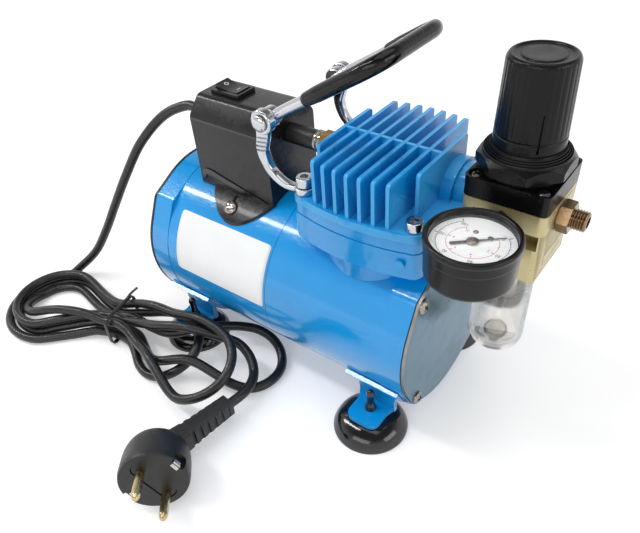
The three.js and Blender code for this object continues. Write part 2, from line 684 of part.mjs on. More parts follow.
function makeFeet() {
  const names = ['front_left', 'front_right', 'rear_right', 'rear_left'];
  corners.forEach(([x, y], i) => {
    const centre = at(x * footX, y * footY, 0);
    const cup = turned([[0, 4.5], [19, 0], [cupRadius, 0], [cupRadius, 1.4], [18.6, 6.6], [8.5, cupHeight],
      [nippleRadius, cupHeight], [nippleRadius, padBottom + padThickness + seat],
      [3.5, padBottom + padThickness + seat], [2, 20], [2, 27.5], [0, nippleTop]], centre, Z, 18);
    add(`suction_cup_${names[i]}`, cup, 'rubber');

    const padEnd = footY + padReach;
    const riserY = footY - riserInset;
    const outline = new THREE.Shape();
    outline.moveTo(-padHalf - 2, riserY - 3);
    outline.lineTo(-padHalf, footY - 2);
    outline.lineTo(-padHalf, padEnd - 6);
    outline.quadraticCurveTo(-padHalf, padEnd, -padHalf + 6, padEnd);
    outline.lineTo(padHalf - 6, padEnd);
    outline.quadraticCurveTo(padHalf, padEnd, padHalf, padEnd - 6);
    outline.lineTo(padHalf, footY - 2);
    outline.lineTo(padHalf + 2, riserY - 3);
    const pad = alongZ(outline, padBottom, padBottom + padThickness, 4);
    const riser = block(-padHalf - 2, padHalf + 2, riserY - 3.2, riserY, padBottom, axisHeight - 20);
    const patch = cut(
      rod(barrelRadius + seat + footFlangeThickness, 2 * footFlangeHalf,
        at(-footFlangeHalf, 0, axisHeight), X, 40),
      block(-50, 50, -80, 80, axisHeight - 24, axisHeight + 80),
      block(-50, 50, -80, riserY - 11, -20, axisHeight + 80));
    const whole = cut(join(pad, riser, patch),
      rod(barrelRadius + seat, 100, at(-50, 0, axisHeight), X, 40),
      rod(nippleRadius + seat, 20, at(0, footY, padBottom - 5), Z, 12),
      block(-50, 50, riserY + 0.01, 80, padBottom + padThickness + 12, axisHeight + 80));
    const facing = y < 0 ? whole.mirror([0, 1, 0]) : whole;
    const bracket = cut(facing.translate([x * footX, 0, 0]), ...earClearances());
    add(`foot_bracket_${names[i]}`, bracket, 'bluePaint');
  });
}

// Handle

function makeHandle() {
  const names = ['front', 'rear'];
  const boltX = headX - boltHalf;
  [-1, 1].forEach((side, i) => {
    const low = flangeTop + seat;
    const middle = low + bracketThickness / 2;
    const foot = cut(rod(5.4, bracketThickness, at(boltX, side * boltHalf, low), Z, 20),
      rod(boltRadius + seat, 20, at(boltX, side * boltHalf, low - 5), Z, 10));
    const y = side * pivotY;
    const curve = new THREE.CatmullRomCurve3([
      at(boltX - 3.6, side * (boltHalf + 0.4), middle), at(boltX - 9, y, middle + 0.3),
      at(boltX - 16, y, middle + 3), at(boltX - 21, y, middle + 8), at(boltX - 23.6, y, middle + 16),
      at(pivotX - 1, y, pivotHeight - 9), at(pivotX, y, pivotHeight)]);
    const section = bevelled(bracketThickness / 2, bracketWidth / 2, 0.6);
    const arm = solid(new THREE.ExtrudeGeometry(section, {
      steps: 12, extrudePath: curve, bevelEnabled: false }));
    const ear = rod(eyeRadius, earThickness, at(pivotX, y - earThickness / 2, pivotHeight), Y, 18);
    const eye = rod(pinRadius + seat, 20, at(pivotX, y - 10, pivotHeight), Y, 10);
    const sweeps = [-side, side].map((way) => rod(1.6 * eyeRadius, 12,
      at(pivotX, y + way * earThickness / 2, pivotHeight), at(0, way, 0), 16));
    const bracket = cut(join(foot, arm, ear), eye, ...sweeps,
      rod(boltHeadRadius + seat, 20, at(boltX, side * boltHalf, low + bracketThickness + 0.01), Z, 14),
      rod(boltRadius + seat, 20, at(boltX, side * boltHalf, low - 5), Z, 10));
    add(`handle_bracket_${names[i]}`, bracket, 'chrome');
  });

  const gap = earThickness / 2 + seat;
  const armY = pivotY - gap - bailRodRadius;
  const bail = new THREE.Group();
  bail.position.set(pivotX, 0, pivotHeight);
  bail.rotation.y = -THREE.MathUtils.degToRad(bailRest);
  machine.add(bail);

  const route = (start, finish) => {
    const path = new THREE.CurvePath();
    const inset = bailBend;
    const knots = [at(start, -armY, 0), at(bailReach - inset, -armY, 0), at(bailReach, -armY + inset, 0),
      at(bailReach, armY - inset, 0), at(bailReach - inset, armY, 0), at(finish, armY, 0)];
    path.add(new THREE.LineCurve3(knots[0], knots[1]));
    path.add(new THREE.QuadraticBezierCurve3(knots[1], at(bailReach, -armY, 0), knots[2]));
    path.add(new THREE.LineCurve3(knots[2], knots[3]));
    path.add(new THREE.QuadraticBezierCurve3(knots[3], at(bailReach, armY, 0), knots[4]));
    path.add(new THREE.LineCurve3(knots[4], knots[5]));
    return path;
  };
  const eyes = [-1, 1].map((side) => rod(
    eyeRadius - 1, 2 * bailRodRadius, at(0, side * armY - bailRodRadius, 0), Y, 16));
  const rivets = [-1, 1].map((side) => {
    const outer = side * (pivotY + earThickness / 2 + seat);
    const shank = earThickness + bailRodRadius + 2 * seat;
    return turned([[0, -shank], [pinRadius, -shank], [pinRadius, 0], [pinHeadRadius, 0],
      [pinHeadRadius, 0.8], [pinHeadRadius - 1.4, 2], [0, 2.4]], at(0, outer, 0), at(0, side, 0), 12);
  });
  add('handle_bail', join(tube(route(0, 0), bailRodRadius, 36, 8), ...eyes, ...rivets), 'chrome', bail);
  const sleeve = tube(route(gripStart, gripEnd), gripRadius, 24, 8, bailRodRadius + 2 * seat);
  add('grip_sleeve', sleeve, 'rubber', bail);
}

// Switch box

function boxOutline(inset) {
  const half = boxHalf - inset;
  const top = boxTop - inset;
  const flat = boxHalf - boxChamferY - inset * 0.45;
  const shoulder = boxTop - boxChamferZ - inset * 0.45;
  const low = axisHeight + 20;
  return polygon([[-half, low], [half, low], [half, shoulder], [flat, top], [-flat, top], [-half, shoulder]]);
}

function makeBox() {
  const shell = cut(alongX(boxOutline(0), boxLeft, boxRight, 1),
    alongX(boxOutline(boxWall), boxLeft + boxWall, boxRight - boxWall, 1));
  const ears = [-1, 1].map((side) => {
    const plan = new THREE.Shape();
    plan.absellipse(saddleX, 0, saddleHalf, boxHalf + saddleReach, 0, 2 * Math.PI, false);
    const sheet = cut(barrel(barrelRadius + seat + boxWall, boxLeft, boxRight + 2),
      block(boxLeft - 1, boxRight + 3, -side * 60 - boxHalf + boxWall, -side * 60 + boxHalf - boxWall,
        0, 200));
    const wide = alongZ(plan, axisHeight + 10, boxTop - 20, 12);
    const beyond = block(-100, 50, boxHalf - boxWall, 80, 0, 200);
    const half = side < 0 ? beyond.mirror([0, 1, 0]) : beyond;
    return sheet.intersect(wide).intersect(half);
  });
  const arch = polygon([[112, -65.5], [118.5, -64], [119.5, -58], [118, -51], [109.5, -12], [106.5, -12],
    [114.5, -51], [116, -57.5], [115.5, -62], [112, -62.5]]);
  const frontBand = alongY(arch, -boxHalf - bandRise, -boxHalf + 0.1, 2);
  const bands = [frontBand, frontBand.mirror([0, 1, 0])];
  const switchHole = block(switchX - switchBodyLength / 2 - seat, switchX + switchBodyLength / 2 + seat,
    -switchBodyWidth / 2 - seat, switchBodyWidth / 2 + seat, boxTop - 5, boxTop + 5);
  const glandHole = rod(cordRadius + 1.8 + seat, 8, at(boxLeft - 2, 0, glandHeight), X, 14);
  const fittingHole = rod(portRadius + seat, 8, at(boxRight - 4, 0, inletBossHeight), X, 14);
  const whole = cut(join(shell, ...ears, ...bands), barrel(barrelRadius + seat, boxLeft - 5, boxRight + 5),
    switchHole, glandHole, fittingHole);
  const screws = [-1, 1].map((side) => panScrew(
    saddleScrewSeat(side, boxWall + seat), saddleNormal(side),
    earScrewHeadRadius, earScrewHeadHeight, earScrewRadius, barrelWall + boxWall));
  add('switch_box', join(whole, ...screws), 'boxPaint');

  const top = boxTop + seat;
  const bezel = block(switchX - bezelLength / 2, switchX + bezelLength / 2,
    -bezelWidth / 2, bezelWidth / 2, top, top + bezelThickness);
  const body = block(switchX - switchBodyLength / 2, switchX + switchBodyLength / 2,
    -switchBodyWidth / 2, switchBodyWidth / 2, top - switchBodyDepth, top + 0.5);
  const well = block(switchX - rockerLength / 2 - 0.7, switchX + rockerLength / 2 + 0.7,
    -rockerWidth / 2 - run, rockerWidth / 2 + run, top - 7, top + bezelThickness + 1);
  const terminals = [-6, 0, 6].map((x) => block(switchX + x - 0.4, switchX + x + 0.4, -2.4, 2.4,
    top - switchBodyDepth - 7, top - switchBodyDepth + 1));
  add('switch_body', join(cut(join(bezel, body), well), ...terminals), 'blackPlastic');

  const dish = new THREE.Shape();
  dish.moveTo(-rockerLength / 2, 0);
  dish.quadraticCurveTo(0, -2.2, rockerLength / 2, 0);
  dish.lineTo(rockerLength / 2 - 1.2, -3.4);
  dish.lineTo(2.5, -5);
  dish.lineTo(-2.5, -5);
  dish.lineTo(-rockerLength / 2 + 1.2, -3.4);
  const rocker = drawn(dish, rockerWidth);
  rocker.applyMatrix4(new THREE.Matrix4().makeBasis(X, Z, Y.clone().negate()));
  rocker.translate(0, rockerWidth / 2, 2.2).rotateY(THREE.MathUtils.degToRad(rockerTilt));
  rocker.translate(switchX, 0, top + bezelThickness - 0.6);
  add('switch_rocker', solid(rocker), 'blackPlastic');

  const stubLength = 10;
  const casingEnd = boxRight - boxWall - 2;
  const casing = block(casingEnd - 20, casingEnd, -9, 9, inletBossHeight - 13, inletBossHeight + 10);
  const pipeHole = rod(portRadius + seat, stubLength, at(boxRight - 10, 0, inletBossHeight), X);
  add('pressure_switch', cut(casing, pipeHole), 'blackPlastic');

  const inletStart = headX - flangeHalf + inletInset;
  const fittingEnd = inletStart + 8;
  const hexEnd = inletStart - seat;
  const pipe = rod(portRadius, fittingEnd - boxRight + 6, at(boxRight - 6, 0, inletBossHeight), X, 14);
  const hexagon = alongX(sided(6, 6), hexEnd - 8, hexEnd, 1).translate([0, 0, inletBossHeight]);
  const collar = rod(6, 6, at(boxRight + seat, 0, inletBossHeight), X, 14);
  const bore = rod(2, fittingEnd - boxRight + 20, at(boxRight - 10, 0, inletBossHeight), X, 8);
  add('brass_fitting', cut(join(pipe, hexagon, collar), bore), 'brass');

  const gland = turned([[0, 0], [cordRadius + 1.8, 0], [cordRadius + 1.8, 5], [glandRadius + 1.4, 5],
    [glandRadius + 1.4, 8], [glandRadius, 8], [cordRadius + 1, glandLength], [0, glandLength]],
  at(boxLeft + 5 - seat, 0, glandHeight), X.clone().negate(), 14);
  add('cord_gland', gland, 'blackPlastic');
}

// Regulator, water trap and gauge

function makeRegulator() {
  const column = at(regulatorX, outletY, 0);
  const low = regulatorBottom;
  const high = bonnetBottom - seat;
  const square = roundedBox(regulatorHalf, regulatorHalf, regulatorCorner, column.x, column.y);
  const waist = roundedBox(regulatorHalf - 1.2, regulatorHalf - 1.2, regulatorCorner, column.x, column.y);
  const upper = alongZ(square, portHeight - 9, high, 3);
  const lower = alongZ(waist, low, portHeight - 8, 3);
  const left = column.x - regulatorHalf;
  const right = column.x + regulatorHalf;
  const front = column.y - regulatorHalf;
  const rightBlock = block(right - 6, right, column.y - 11, column.y + 11, low + 6, high - 1);
  const pocket = block(column.x + 10, column.x + 17, front - 1, front + 4, portHeight - 14, portHeight - 4);
  const sump = rod(bowlRadius - 3, sumpDepth + 1, at(column.x, column.y, low - 1), Z, 20);
  const bores = [
    rod(portRadius + seat, 10, at(left - 1, column.y, portHeight), X, 14),
    rod(portRadius + seat, 10, at(right - 9, column.y, portHeight), X, 14),
    rod(portRadius + seat, 10, at(column.x, front - 1, portHeight), Y, 14),
  ];
  add('regulator_body', cut(join(upper, lower, rightBlock), pocket, sump, ...bores), 'gold');

  const base = alongZ(square, bonnetBottom, bonnetBottom + bonnetHeight, 3);
  const bonnetTop = bonnetBottom + bonnetHeight;
  const neckTop = knobBottom - bonnetTop + 0.2;
  const dome = turned([[0, 0], [18.6, 0], [18.6, 2], [neckThreadRadius, 4], [neckThreadRadius, neckTop],
    [guideRadius, neckTop], [guideRadius, neckTop + 6], [0, neckTop + 6]],
  at(column.x, column.y, bonnetTop - 1), Z, 24);
  const chamberDepth = knobBottom - bonnetBottom + 10;
  const chamber = rod(guideRadius - 2, chamberDepth, at(column.x, column.y, bonnetBottom - 1), Z);
  const screwPlaces = corners.map(([x, y]) => at(
    column.x + x * bonnetScrewHalf, column.y + y * bonnetScrewHalf, bonnetTop - 2));
  const lobes = screwPlaces.map((place) => rod(3.8, 2.2, place, Z, 10));
  const screws = screwPlaces.map((place) => panScrew(place, Z, 3, 2, 1.8, bonnetHeight - 3));
  add('regulator_bonnet', join(cut(join(base, dome), chamber, ...lobes), ...screws), 'blackPlastic');

  const nutBottom = bonnetTop + 2 + seat;
  const nutSides = alongZ(sided(8, nutFlats), nutBottom, nutBottom + nutHeight, 1);
  const nut = nutSides.translate([column.x, column.y, 0]);
  const crown = rod(nutFlats - 1, 1.4, at(column.x, column.y, nutBottom + nutHeight - 0.2), Z, 24);
  const nutBore = turned([[0, -1], [18.6 + seat, -1], [18.6 + seat, 1.4], [neckThreadRadius + seat, 3.4],
    [neckThreadRadius + seat, 20], [0, 20]], at(column.x, column.y, nutBottom), Z, 24);
  add('panel_nut', cut(join(nut, crown), nutBore), 'blackPlastic');

  const sides = 32;
  const skirt = 5;
  const height = knobTop - knobBottom;
  const flute = 0.35;
  const knobShape = new THREE.LatheGeometry([[0, height - 1.6], [10, height - 1.6], [10.4, height - 0.4],
    [knobTopRadius - 1.6, height], [knobTopRadius, height - 1.6], [knobBottomRadius - 0.5, skirt],
    [knobBottomRadius, skirt - 0.6], [knobBottomRadius, 0], [knobBottomRadius - knobWall, 0],
    [knobTopRadius - knobWall, height - 6], [4.2, height - 6], [4.2, height - knobSocket],
    [0, height - knobSocket]]
    .map(([radius, z]) => new THREE.Vector2(radius, z)), sides);
  const places = knobShape.attributes.position;
  for (let i = 0; i < places.count; i += 1) {
    const [x, y, z] = [places.getX(i), places.getY(i), places.getZ(i)];
    const radius = Math.hypot(x, z);
    const side = Math.round(Math.atan2(x, z) / (2 * Math.PI / sides));
    const fluted = radius > knobTopRadius - 0.1 && y > skirt - 0.1 && Math.abs(side) % 2 === 1;
    if (fluted) places.setXYZ(i, x * (1 - flute / radius), y, z * (1 - flute / radius));
  }
  knobShape.rotateX(Math.PI / 2).translate(column.x, column.y, knobBottom);
  add('regulator_knob', solid(knobShape), 'blackPlastic');

  const spindleTop = knobTop - knobSocket - knobLift - seat;
  const spindle = join(rod(3, spindleTop - bonnetBottom - 4, at(column.x, column.y, bonnetBottom + 4), Z, 12),
    rod(guideRadius - 3, 2.5, at(column.x, column.y, bonnetBottom + 4), Z, 16));
  add('adjusting_spindle', spindle, 'steel');

  const nippleStart = left - 8;
  const nippleLength = 16;
  const nipple = ring(portRadius, 3, nippleLength, at(nippleStart, column.y, portHeight), X, 14);
  add('inlet_nipple', nipple, 'brass');

  const hexStart = right + seat;
  const hexLength = 5.5;
  const end = hexStart + hexLength;
  const hexagon = alongX(sided(6, nippleHexRadius), hexStart, end, 1).translate([0, column.y, portHeight]);
  const plug = rod(portRadius, 8, at(right - 7, column.y, portHeight), X, 14);
  const threads = [[0, 0]];
  const pitch = 1.15;
  for (let i = 0; i < 5; i += 1) {
    threads.push([portRadius - 0.5, i * pitch + 0.6], [portRadius, i * pitch + 1.1]);
  }
  const threadLength = outletLength - hexLength;
  const outside = [[0, -1], [portRadius - 0.6, -1], ...threads.slice(1), [portRadius - 0.7, threadLength],
    [0, threadLength]];
  const threaded = turned(outside, at(end, column.y, portHeight), X, 14);
  const bore = rod(2.8, 40, at(right - 12, column.y, portHeight), X, 16);
  add('outlet_nipple', cut(join(hexagon, plug, threaded), bore), 'bronze');

  const bowlTop = regulatorBottom - seat;
  const outer = bowlRadius;
  const inner = bowlRadius - bowlWall;
  const depth = bowlTop - bowlBottom;
  const drainRadius = 3.2;
  const bowl = turned([[drainRadius, 0], [outer - 5, 0], [outer - 1.6, 1.8], [outer, 5.5],
    [outer + 0.4, depth], [inner + 0.4, depth], [inner, 6.5], [inner - 3, 3],
    [drainRadius + 1.6, 2.2], [drainRadius + 1.6, 5], [drainRadius, 5],
    [drainRadius, 0]], at(column.x, column.y, bowlBottom), Z, 18);
  add('filter_bowl', bowl, 'clear');
  const elementBottom = bowlBottom + 0.54 * depth;
  const capBottom = regulatorBottom - 4 - elementBottom;
  const elementTop = regulatorBottom + sumpDepth - seat - elementBottom;
  const element = turned([[0, 0], [9.5, 0], [9.5, 1.6], [6.8, 2.2], [6.8, capBottom], [8.6, capBottom],
    [8.6, capBottom + 2], [3.5, capBottom + 2], [3.5, elementTop], [0, elementTop]],
  at(column.x, column.y, elementBottom), Z, 16);
  add('filter_element', element, 'felt');
  const stem = drainRadius - run;
  const drain = turned([[0, -3], [stem - 0.6, -3], [stem, -2.4], [stem, 5.3], [6.5, 5.3], [6.5, 7],
    [2, 8.4], [0, 8.4]], at(column.x, column.y, bowlBottom), Z, 14);
  add('drain_valve', drain, 'blackPlastic');

  const gauge = at(column.x, gaugeY, gaugeTop - gaugeHeight);
  const r = gaugeRadius;
  const h = gaugeHeight;
  const inside = r - gaugeWall;
  const caseCup = turned([[0, 0], [r - 3, 0], [r - 1, 2], [r - 0.8, h - 7], [r, h - 6], [r, h - 1],
    [r - 0.8, h], [inside, h], [inside - 0.4, h - 1.4], [inside, h - 1.6], [inside, h - dialDepth],
    [0, h - dialDepth]], gauge, Z, 24);
  const stemStart = gaugeY + r - 3;
  const stemHex = laid(drawn(sided(6, 6), front - seat - stemStart, 1), Z, X, Y,
    at(column.x, stemStart, portHeight));
  const stemThread = rod(portRadius, front + 6 - stemStart, at(column.x, stemStart, portHeight), Y, 14);
  const spindleHole = rod(1 + run, 3, at(gauge.x, gaugeY, gaugeTop - dialDepth - 2), Z, 12);
  add('gauge_case', cut(join(caseCup, stemHex, stemThread), spindleHole), 'blackPlastic');
  const dialBottom = gaugeTop - dialDepth + seat;
  const dialThickness = 0.6;
  const dial = ring(inside - seat, 1 + run, dialThickness, at(gauge.x, gaugeY, dialBottom), Z, 28);
  add('gauge_dial', dial, 'dial');

  const needleHeight = dialBottom + dialThickness + 0.4;
  const arrow = polygon([[-9.5, -0.9], [-2, -0.7], [14.5, -0.25], [14.5, 0.25], [-2, 0.7], [-9.5, 0.9]]);
  const needle = join(laid(drawn(arrow, 0.5, 1), X, Y, Z, at(0, 0, needleHeight)),
    rod(2, 1, at(0, 0, needleHeight), Z, 16), rod(1, 3.4, at(0, 0, needleHeight - 3), Z, 12));
  const turnedNeedle = needle.rotate([0, 0, needleZero]);
  add('gauge_needle', turnedNeedle.translate([gauge.x, gaugeY, 0]), 'blackPlastic');
  add('gauge_lens', rod(inside - seat - 0.4, 0.8, at(gauge.x, gaugeY, gaugeTop - 1.2), Z, 28), 'clear');
}

// Lead, hank and plug

// Height of what the cord lies on at a place: the floor, the band of the tie or the front left foot.
function groundHeight(x, y) {
  const [cupX, cupY] = [x + footX, y + footY];
  const fromCup = Math.hypot(cupX, cupY);
  const onPad = Math.abs(cupX) < padHalf + cordRadius && y > -footY - padReach - cordRadius;
  if (onPad && fromCup < cupRadius + 2 * cordRadius) return padBottom + padThickness + seat;
  const rim = cupRadius + cordRadius;
  if (fromCup < rim) return cupHeight * (1 - (fromCup / rim) ** 3) + seat;
  const atTie = Math.hypot(x - tieX, y - tieY) < 22;
  return atTie ? tieBand + 2 * seat : 0;
}

// Lays strands, given as lists of places in plan, one over the other in an order of their own.
// Returns the middles of the whole cord in space.
function settle(strands, order) {
  const laidDown = new Map();
  for (const number of order) {
    const plan = strands[number].map(([x, y]) => at(x, y, 0));
    const curve = new THREE.CatmullRomCurve3(plan, false, 'centripetal');
    const count = Math.ceil(curve.getLength() / sampleStep);
    const points = curve.getSpacedPoints(count);
    const least = points.map((point, i) => {
      const earlier = [...laidDown].flatMap(([other, places]) => {
        const fromStart = other === number + 1 ? Math.max(0, joinSteps - (points.length - 1 - i)) : 0;
        const fromEnd = other === number - 1 ? Math.max(0, joinSteps - i) : 0;
        return places.slice(fromStart, places.length - fromEnd);
      });
      const under = earlier.filter(
        (lower) => Math.hypot(lower.x - point.x, lower.y - point.y) < strandBeside);
      const heights = under.map((lower) => lower.z + Math.sqrt(
        strandClear ** 2 - (lower.x - point.x) ** 2 - (lower.y - point.y) ** 2));
      return Math.max(groundHeight(point.x, point.y) + cordRadius + seat, ...heights);
    });
    const spread = least.map((height, i) => Math.max(...least.map(
      (other, j) => other - humpSlope * sampleStep * Math.max(0, Math.abs(i - j) - 1))));
    points.forEach((point, i) => {
      const near = spread.slice(Math.max(0, i - 2), i + 3);
      const mean = near.reduce((sum, height) => sum + height, 0) / near.length;
      point.setZ(Math.max(least[i], mean));
    });
    laidDown.set(number, points);
  }
  const whole = strands.flatMap((_, number) => laidDown.get(number).slice(number > 0 ? 1 : 0));
  const heights = whole.map((point, i) => Math.max(...whole.slice(Math.max(0, i - 30), i + 31).map(
    (other, j) => other.z - humpSlope * sampleStep * Math.abs(i - Math.max(0, i - 30) - j))));
  whole.forEach((point, i) => point.setZ(heights[i]));
  return whole;
}

// A place beside the tie: along the strands and across them.
function besideTie(along, across) {
  const turn = THREE.MathUtils.degToRad(tieTurn);
  return [tieX + along * Math.cos(turn) - across * Math.sin(turn),
    tieY + along * Math.sin(turn) + across * Math.cos(turn)];
}

// Places round part of a circle, anticlockwise, in degrees.
function sweep(x, y, radius, from, to, count) {
  const places = [];
  for (let i = 0; i <= count; i += 1) {
    const angle = THREE.MathUtils.degToRad(from + (to - from) * i / count);
    places.push([x + radius * Math.cos(angle), y + radius * Math.sin(angle)]);
  }
  return places;
}

// The hank in plan. Each turn leaves the left fold, passes the tie, rounds its own loop and comes back.
function hankStrands() {
  const lane = strandPitch;
  const through = (across) => [besideTie(-13, across), besideTie(13, across)];
  const back = (across) => through(across).reverse();
  const wide = (radius) => sweep(foldX, foldY, radius, 80, 180, 8);
  const under = (radius) => sweep(foldX, foldY, radius, 180, 298, 9);
  const small = sweep(-69, -76.5, 21.5, -116, 105, 9);
  const far = [[-66, -91], [-40, -80], ...sweep(-19, -54, 22, -75, 140, 8), [-64, -71]];
  const low = sweep(-33, -82.5, 22, -107, 93, 8);
  return [
    [...sweep(foldX, foldY, outerFold, 140, 170, 2), ...under(outerFold),
      ...through(-1.5 * lane), ...small, ...back(1.5 * lane), ...wide(outerFold - lane)],
    [...under(outerFold - lane), ...through(-0.5 * lane), ...far, ...back(0.5 * lane),
      ...wide(outerFold - 2 * lane)],
    [...under(outerFold - 2 * lane), ...through(-1.5 * lane), ...low, ...back(1.5 * lane),
      ...wide(outerFold - lane)],
    [...under(outerFold - lane), ...through(-0.5 * lane), [-74, -75], [-50, -67],
      ...sweep(-22.9, -79.1, 24, 95, -6, 6)],
  ];
}

function makeCord() {
  const places = settle(hankStrands(), [0, 1, 3, 2]);
  for (let i = 1; i <= 18; i += 1) {
    const point = places[places.length - i];
    point.setZ(Math.max(point.z, reliefHeight - humpSlope * sampleStep * Math.max(0, i - 6)));
  }
  const reliefTop = at(reliefEnd[0], reliefEnd[1], reliefHeight);
  const reliefAxis = plugArmAxis();
  const last = [2 * cordRadius + 2, cordRadius, seat].map(
    (away) => reliefTop.clone().addScaledVector(reliefAxis, away));
  while (places[places.length - 1].distanceTo(last[0]) < 6) places.pop();
  places.push(...last);
  const hankCurve = new THREE.CatmullRomCurve3(places, false, 'centripetal');
  const hankLength = hankCurve.getLength();
  const hank = tube(hankCurve, cordRadius, Math.round(hankLength / 11), 6);
  add('cord_hank', hank, 'cable');
  report(hankCurve, hankLength);

  const start = places[0];
  const into = places[1].clone().sub(start).normalize();
  const meet = start.clone().addScaledVector(into, -seat);
  const glandEnd = boxLeft + 5 - seat - glandLength;
  const route = [at(glandEnd - seat, 0, glandHeight), at(glandEnd - 7, 0, glandHeight), at(-109, -5, 135),
    at(-127, -15, 116), at(-142, -24, 91), at(-155.5, -31.5, 66), at(-167.5, -38, 43.5), at(-179.5, -45, 24),
    meet.clone().addScaledVector(into, -14).setZ(meet.z + 4.5), meet.clone().addScaledVector(into, -6), meet];
  const lead = new THREE.CatmullRomCurve3(route, false, 'centripetal');
  add('cord_lead', tube(lead, cordRadius, 28, 8), 'cable');
  console.log(`lead ${lead.getLength().toFixed(0)} mm, hank ${hankLength.toFixed(0)} mm`);

  const turn = THREE.MathUtils.degToRad(tieTurn);
  const along = at(Math.cos(turn), Math.sin(turn), 0);
  const across = at(-Math.sin(turn), Math.cos(turn), 0);
  const fromTie = (point) => point.clone().sub(at(tieX, tieY, 0));
  const near = places.filter((point) => Math.abs(fromTie(point).dot(along)) < tieWidth);
  const side = Math.max(...near.map((point) => Math.abs(fromTie(point).dot(across))));
  const top = Math.max(...near.map((point) => point.z)) + cordRadius + 2 * seat;
  const halfWide = side + cordRadius + 2 * seat;
  const inside = roundedBox(halfWide, (top - tieBand) / 2, cordRadius, 0, (top + tieBand) / 2);
  const outside = roundedBox(halfWide + tieBand, (top + tieBand) / 2, cordRadius + tieBand,
    0, (top + tieBand) / 2);
  const bandPlace = at(tieX, tieY, 0).addScaledVector(along, -tieWidth / 2);
  const band = cut(laid(drawn(outside, tieWidth, 4), across, Z, along, bandPlace),
    laid(drawn(inside, tieWidth + 2, 4), across, Z, along, bandPlace.clone().sub(along)));
  const tailStart = at(tieX, tieY, top + tieBand / 2).addScaledVector(across, halfWide - 6);
  const tail = new THREE.QuadraticBezierCurve3(tailStart, tailStart.clone().add(at(1.5, 3, 5)),
    tailStart.clone().add(at(4, 9, 7)));
  add('cord_tie', join(band, tube(tail, tieBand / 2, 5, 6)), 'blackPlastic');
}

// Prints the least gap between two stretches of the hank that aren't neighbours.
function report(curve, length) {
  const points = curve.getSpacedPoints(Math.round(length));
  let least = Infinity;
  points.forEach((point, i) => points.slice(i + 30).forEach((other) => {
    least = Math.min(least, point.distanceTo(other));
  }));
  console.log(`least gap inside the hank ${(least - 2 * cordRadius).toFixed(2)} mm`);
}

function plugArmAxis() {
  return at(0.16, 0.987, 0).normalize();
}

function makePlug() {
  const turn = THREE.MathUtils.degToRad(plugTurn);
  const tilt = THREE.MathUtils.degToRad(plugTilt);
  const out = at(Math.cos(turn) * Math.cos(tilt), Math.sin(turn) * Math.cos(tilt), Math.sin(tilt));
  const right = at(-Math.sin(turn), Math.cos(turn), 0);
  const up = new THREE.Vector3().crossVectors(out, right);
  const face = at(...plugFace, seat + plugRadius * Math.cos(tilt) + plugDepth * Math.sin(tilt));
  const back = face.clone().addScaledVector(out, -plugDepth);
  const drum = turned([[0, 0], [plugRadius - 5, 0], [plugRadius - 1, 4], [plugRadius, 6],
    [plugRadius, plugDepth], [0, plugDepth]], back, out, 20);
  const arm = plugArmAxis();
  const side = new THREE.Vector3().crossVectors(arm, Z);
  const end = at(...reliefEnd, reliefHeight);
  const armShape = new THREE.Shape();
  armShape.moveTo(0, -5);
  armShape.lineTo(reliefLength, -6);
  armShape.lineTo(reliefLength + 14, -plugRadius * 0.62);
  armShape.lineTo(reliefLength + 14, plugRadius * 0.62);
  armShape.lineTo(reliefLength, 7);
  armShape.lineTo(0, 6);
  const armPlace = end.clone().setZ(reliefHeight - 7);
  const armBlock = laid(drawn(armShape, 14, 2), arm.clone().negate(), side, Z, armPlace);
  const grooves = [];
  for (let i = 0; i < 5; i += 1) {
    for (const half of [-1, 1]) {
      const groove = new THREE.BoxGeometry(2.6, 4, 30);
      groove.translate(5 + i * 5.2, half * (cordRadius + 3.6), 0);
      grooves.push(laid(groove, arm.clone().negate(), side, Z, end));
    }
  }
  const line = THREE.MathUtils.degToRad(pinLineTurn);
  const pinLine = right.clone().multiplyScalar(Math.cos(line)).addScaledVector(up, Math.sin(line));
  const clipLine = new THREE.Vector3().crossVectors(out, pinLine);
  const pocketShape = roundedBox(pinGap / 2 + 5, 4.6, 4.4);
  const pocketPlace = face.clone().addScaledVector(out, -3.3);
  const pocket = laid(drawn(pocketShape, 6, 4), pinLine, clipLine, out, pocketPlace);
  const pinPlaces = [-1, 1].map((half) => face.clone().addScaledVector(pinLine, half * pinGap / 2));
  const holes = pinPlaces.map((place) => rod(
    plugPinRadius + seat, 14, place.clone().addScaledVector(out, -13), out, 10));
  const notches = [-1, 1].map((half) => {
    const notch = new THREE.BoxGeometry(8, 6, 10);
    return laid(notch, pinLine, clipLine, out, face.clone().addScaledVector(clipLine, half * plugRadius));
  });
  const mouth = rod(cordRadius + seat, 1.2, end.clone().addScaledVector(arm, -1), arm, 16);
  const floor = block(-80, 80, -220, -40, -20, 0.2);
  const body = join(drum, cut(armBlock, ...grooves));
  add('plug_body', cut(body, pocket, ...holes, ...notches, mouth, floor), 'cable');

  const carrierShape = roundedBox(pinGap / 2 + 4.6, 4.2, 4);
  const carrierPlace = face.clone().addScaledVector(out, -3);
  const carrier = laid(drawn(carrierShape, 2.8, 4), pinLine, clipLine, out, carrierPlace);
  const pinProfile = [[0, -12], [plugPinRadius, -12], [plugPinRadius, plugPinLength - 2],
    [plugPinRadius - 1.2, plugPinLength], [0, plugPinLength]];
  const pins = pinPlaces.map((place) => turned(pinProfile, place, out, 10));
  add('plug_pins', join(carrier, ...pins), 'brass');
}

makeCastings();
makeCovers();
makeMotor();
makePiston();
makeCylinder();
makeHead();
makeFeet();
makeHandle();
makeBox();
makeRegulator();
makeCord();
makePlug();

// The machine's own ends along X, without the lead, set the origin under its middle.
const rearEnd = -barrelHalf - seat - coverThickness - earScrewHeadHeight;
const outletEnd = regulatorX + regulatorHalf + seat + outletLength;
machine.position.x = -(rearEnd + outletEnd) / 2;

export default machine;
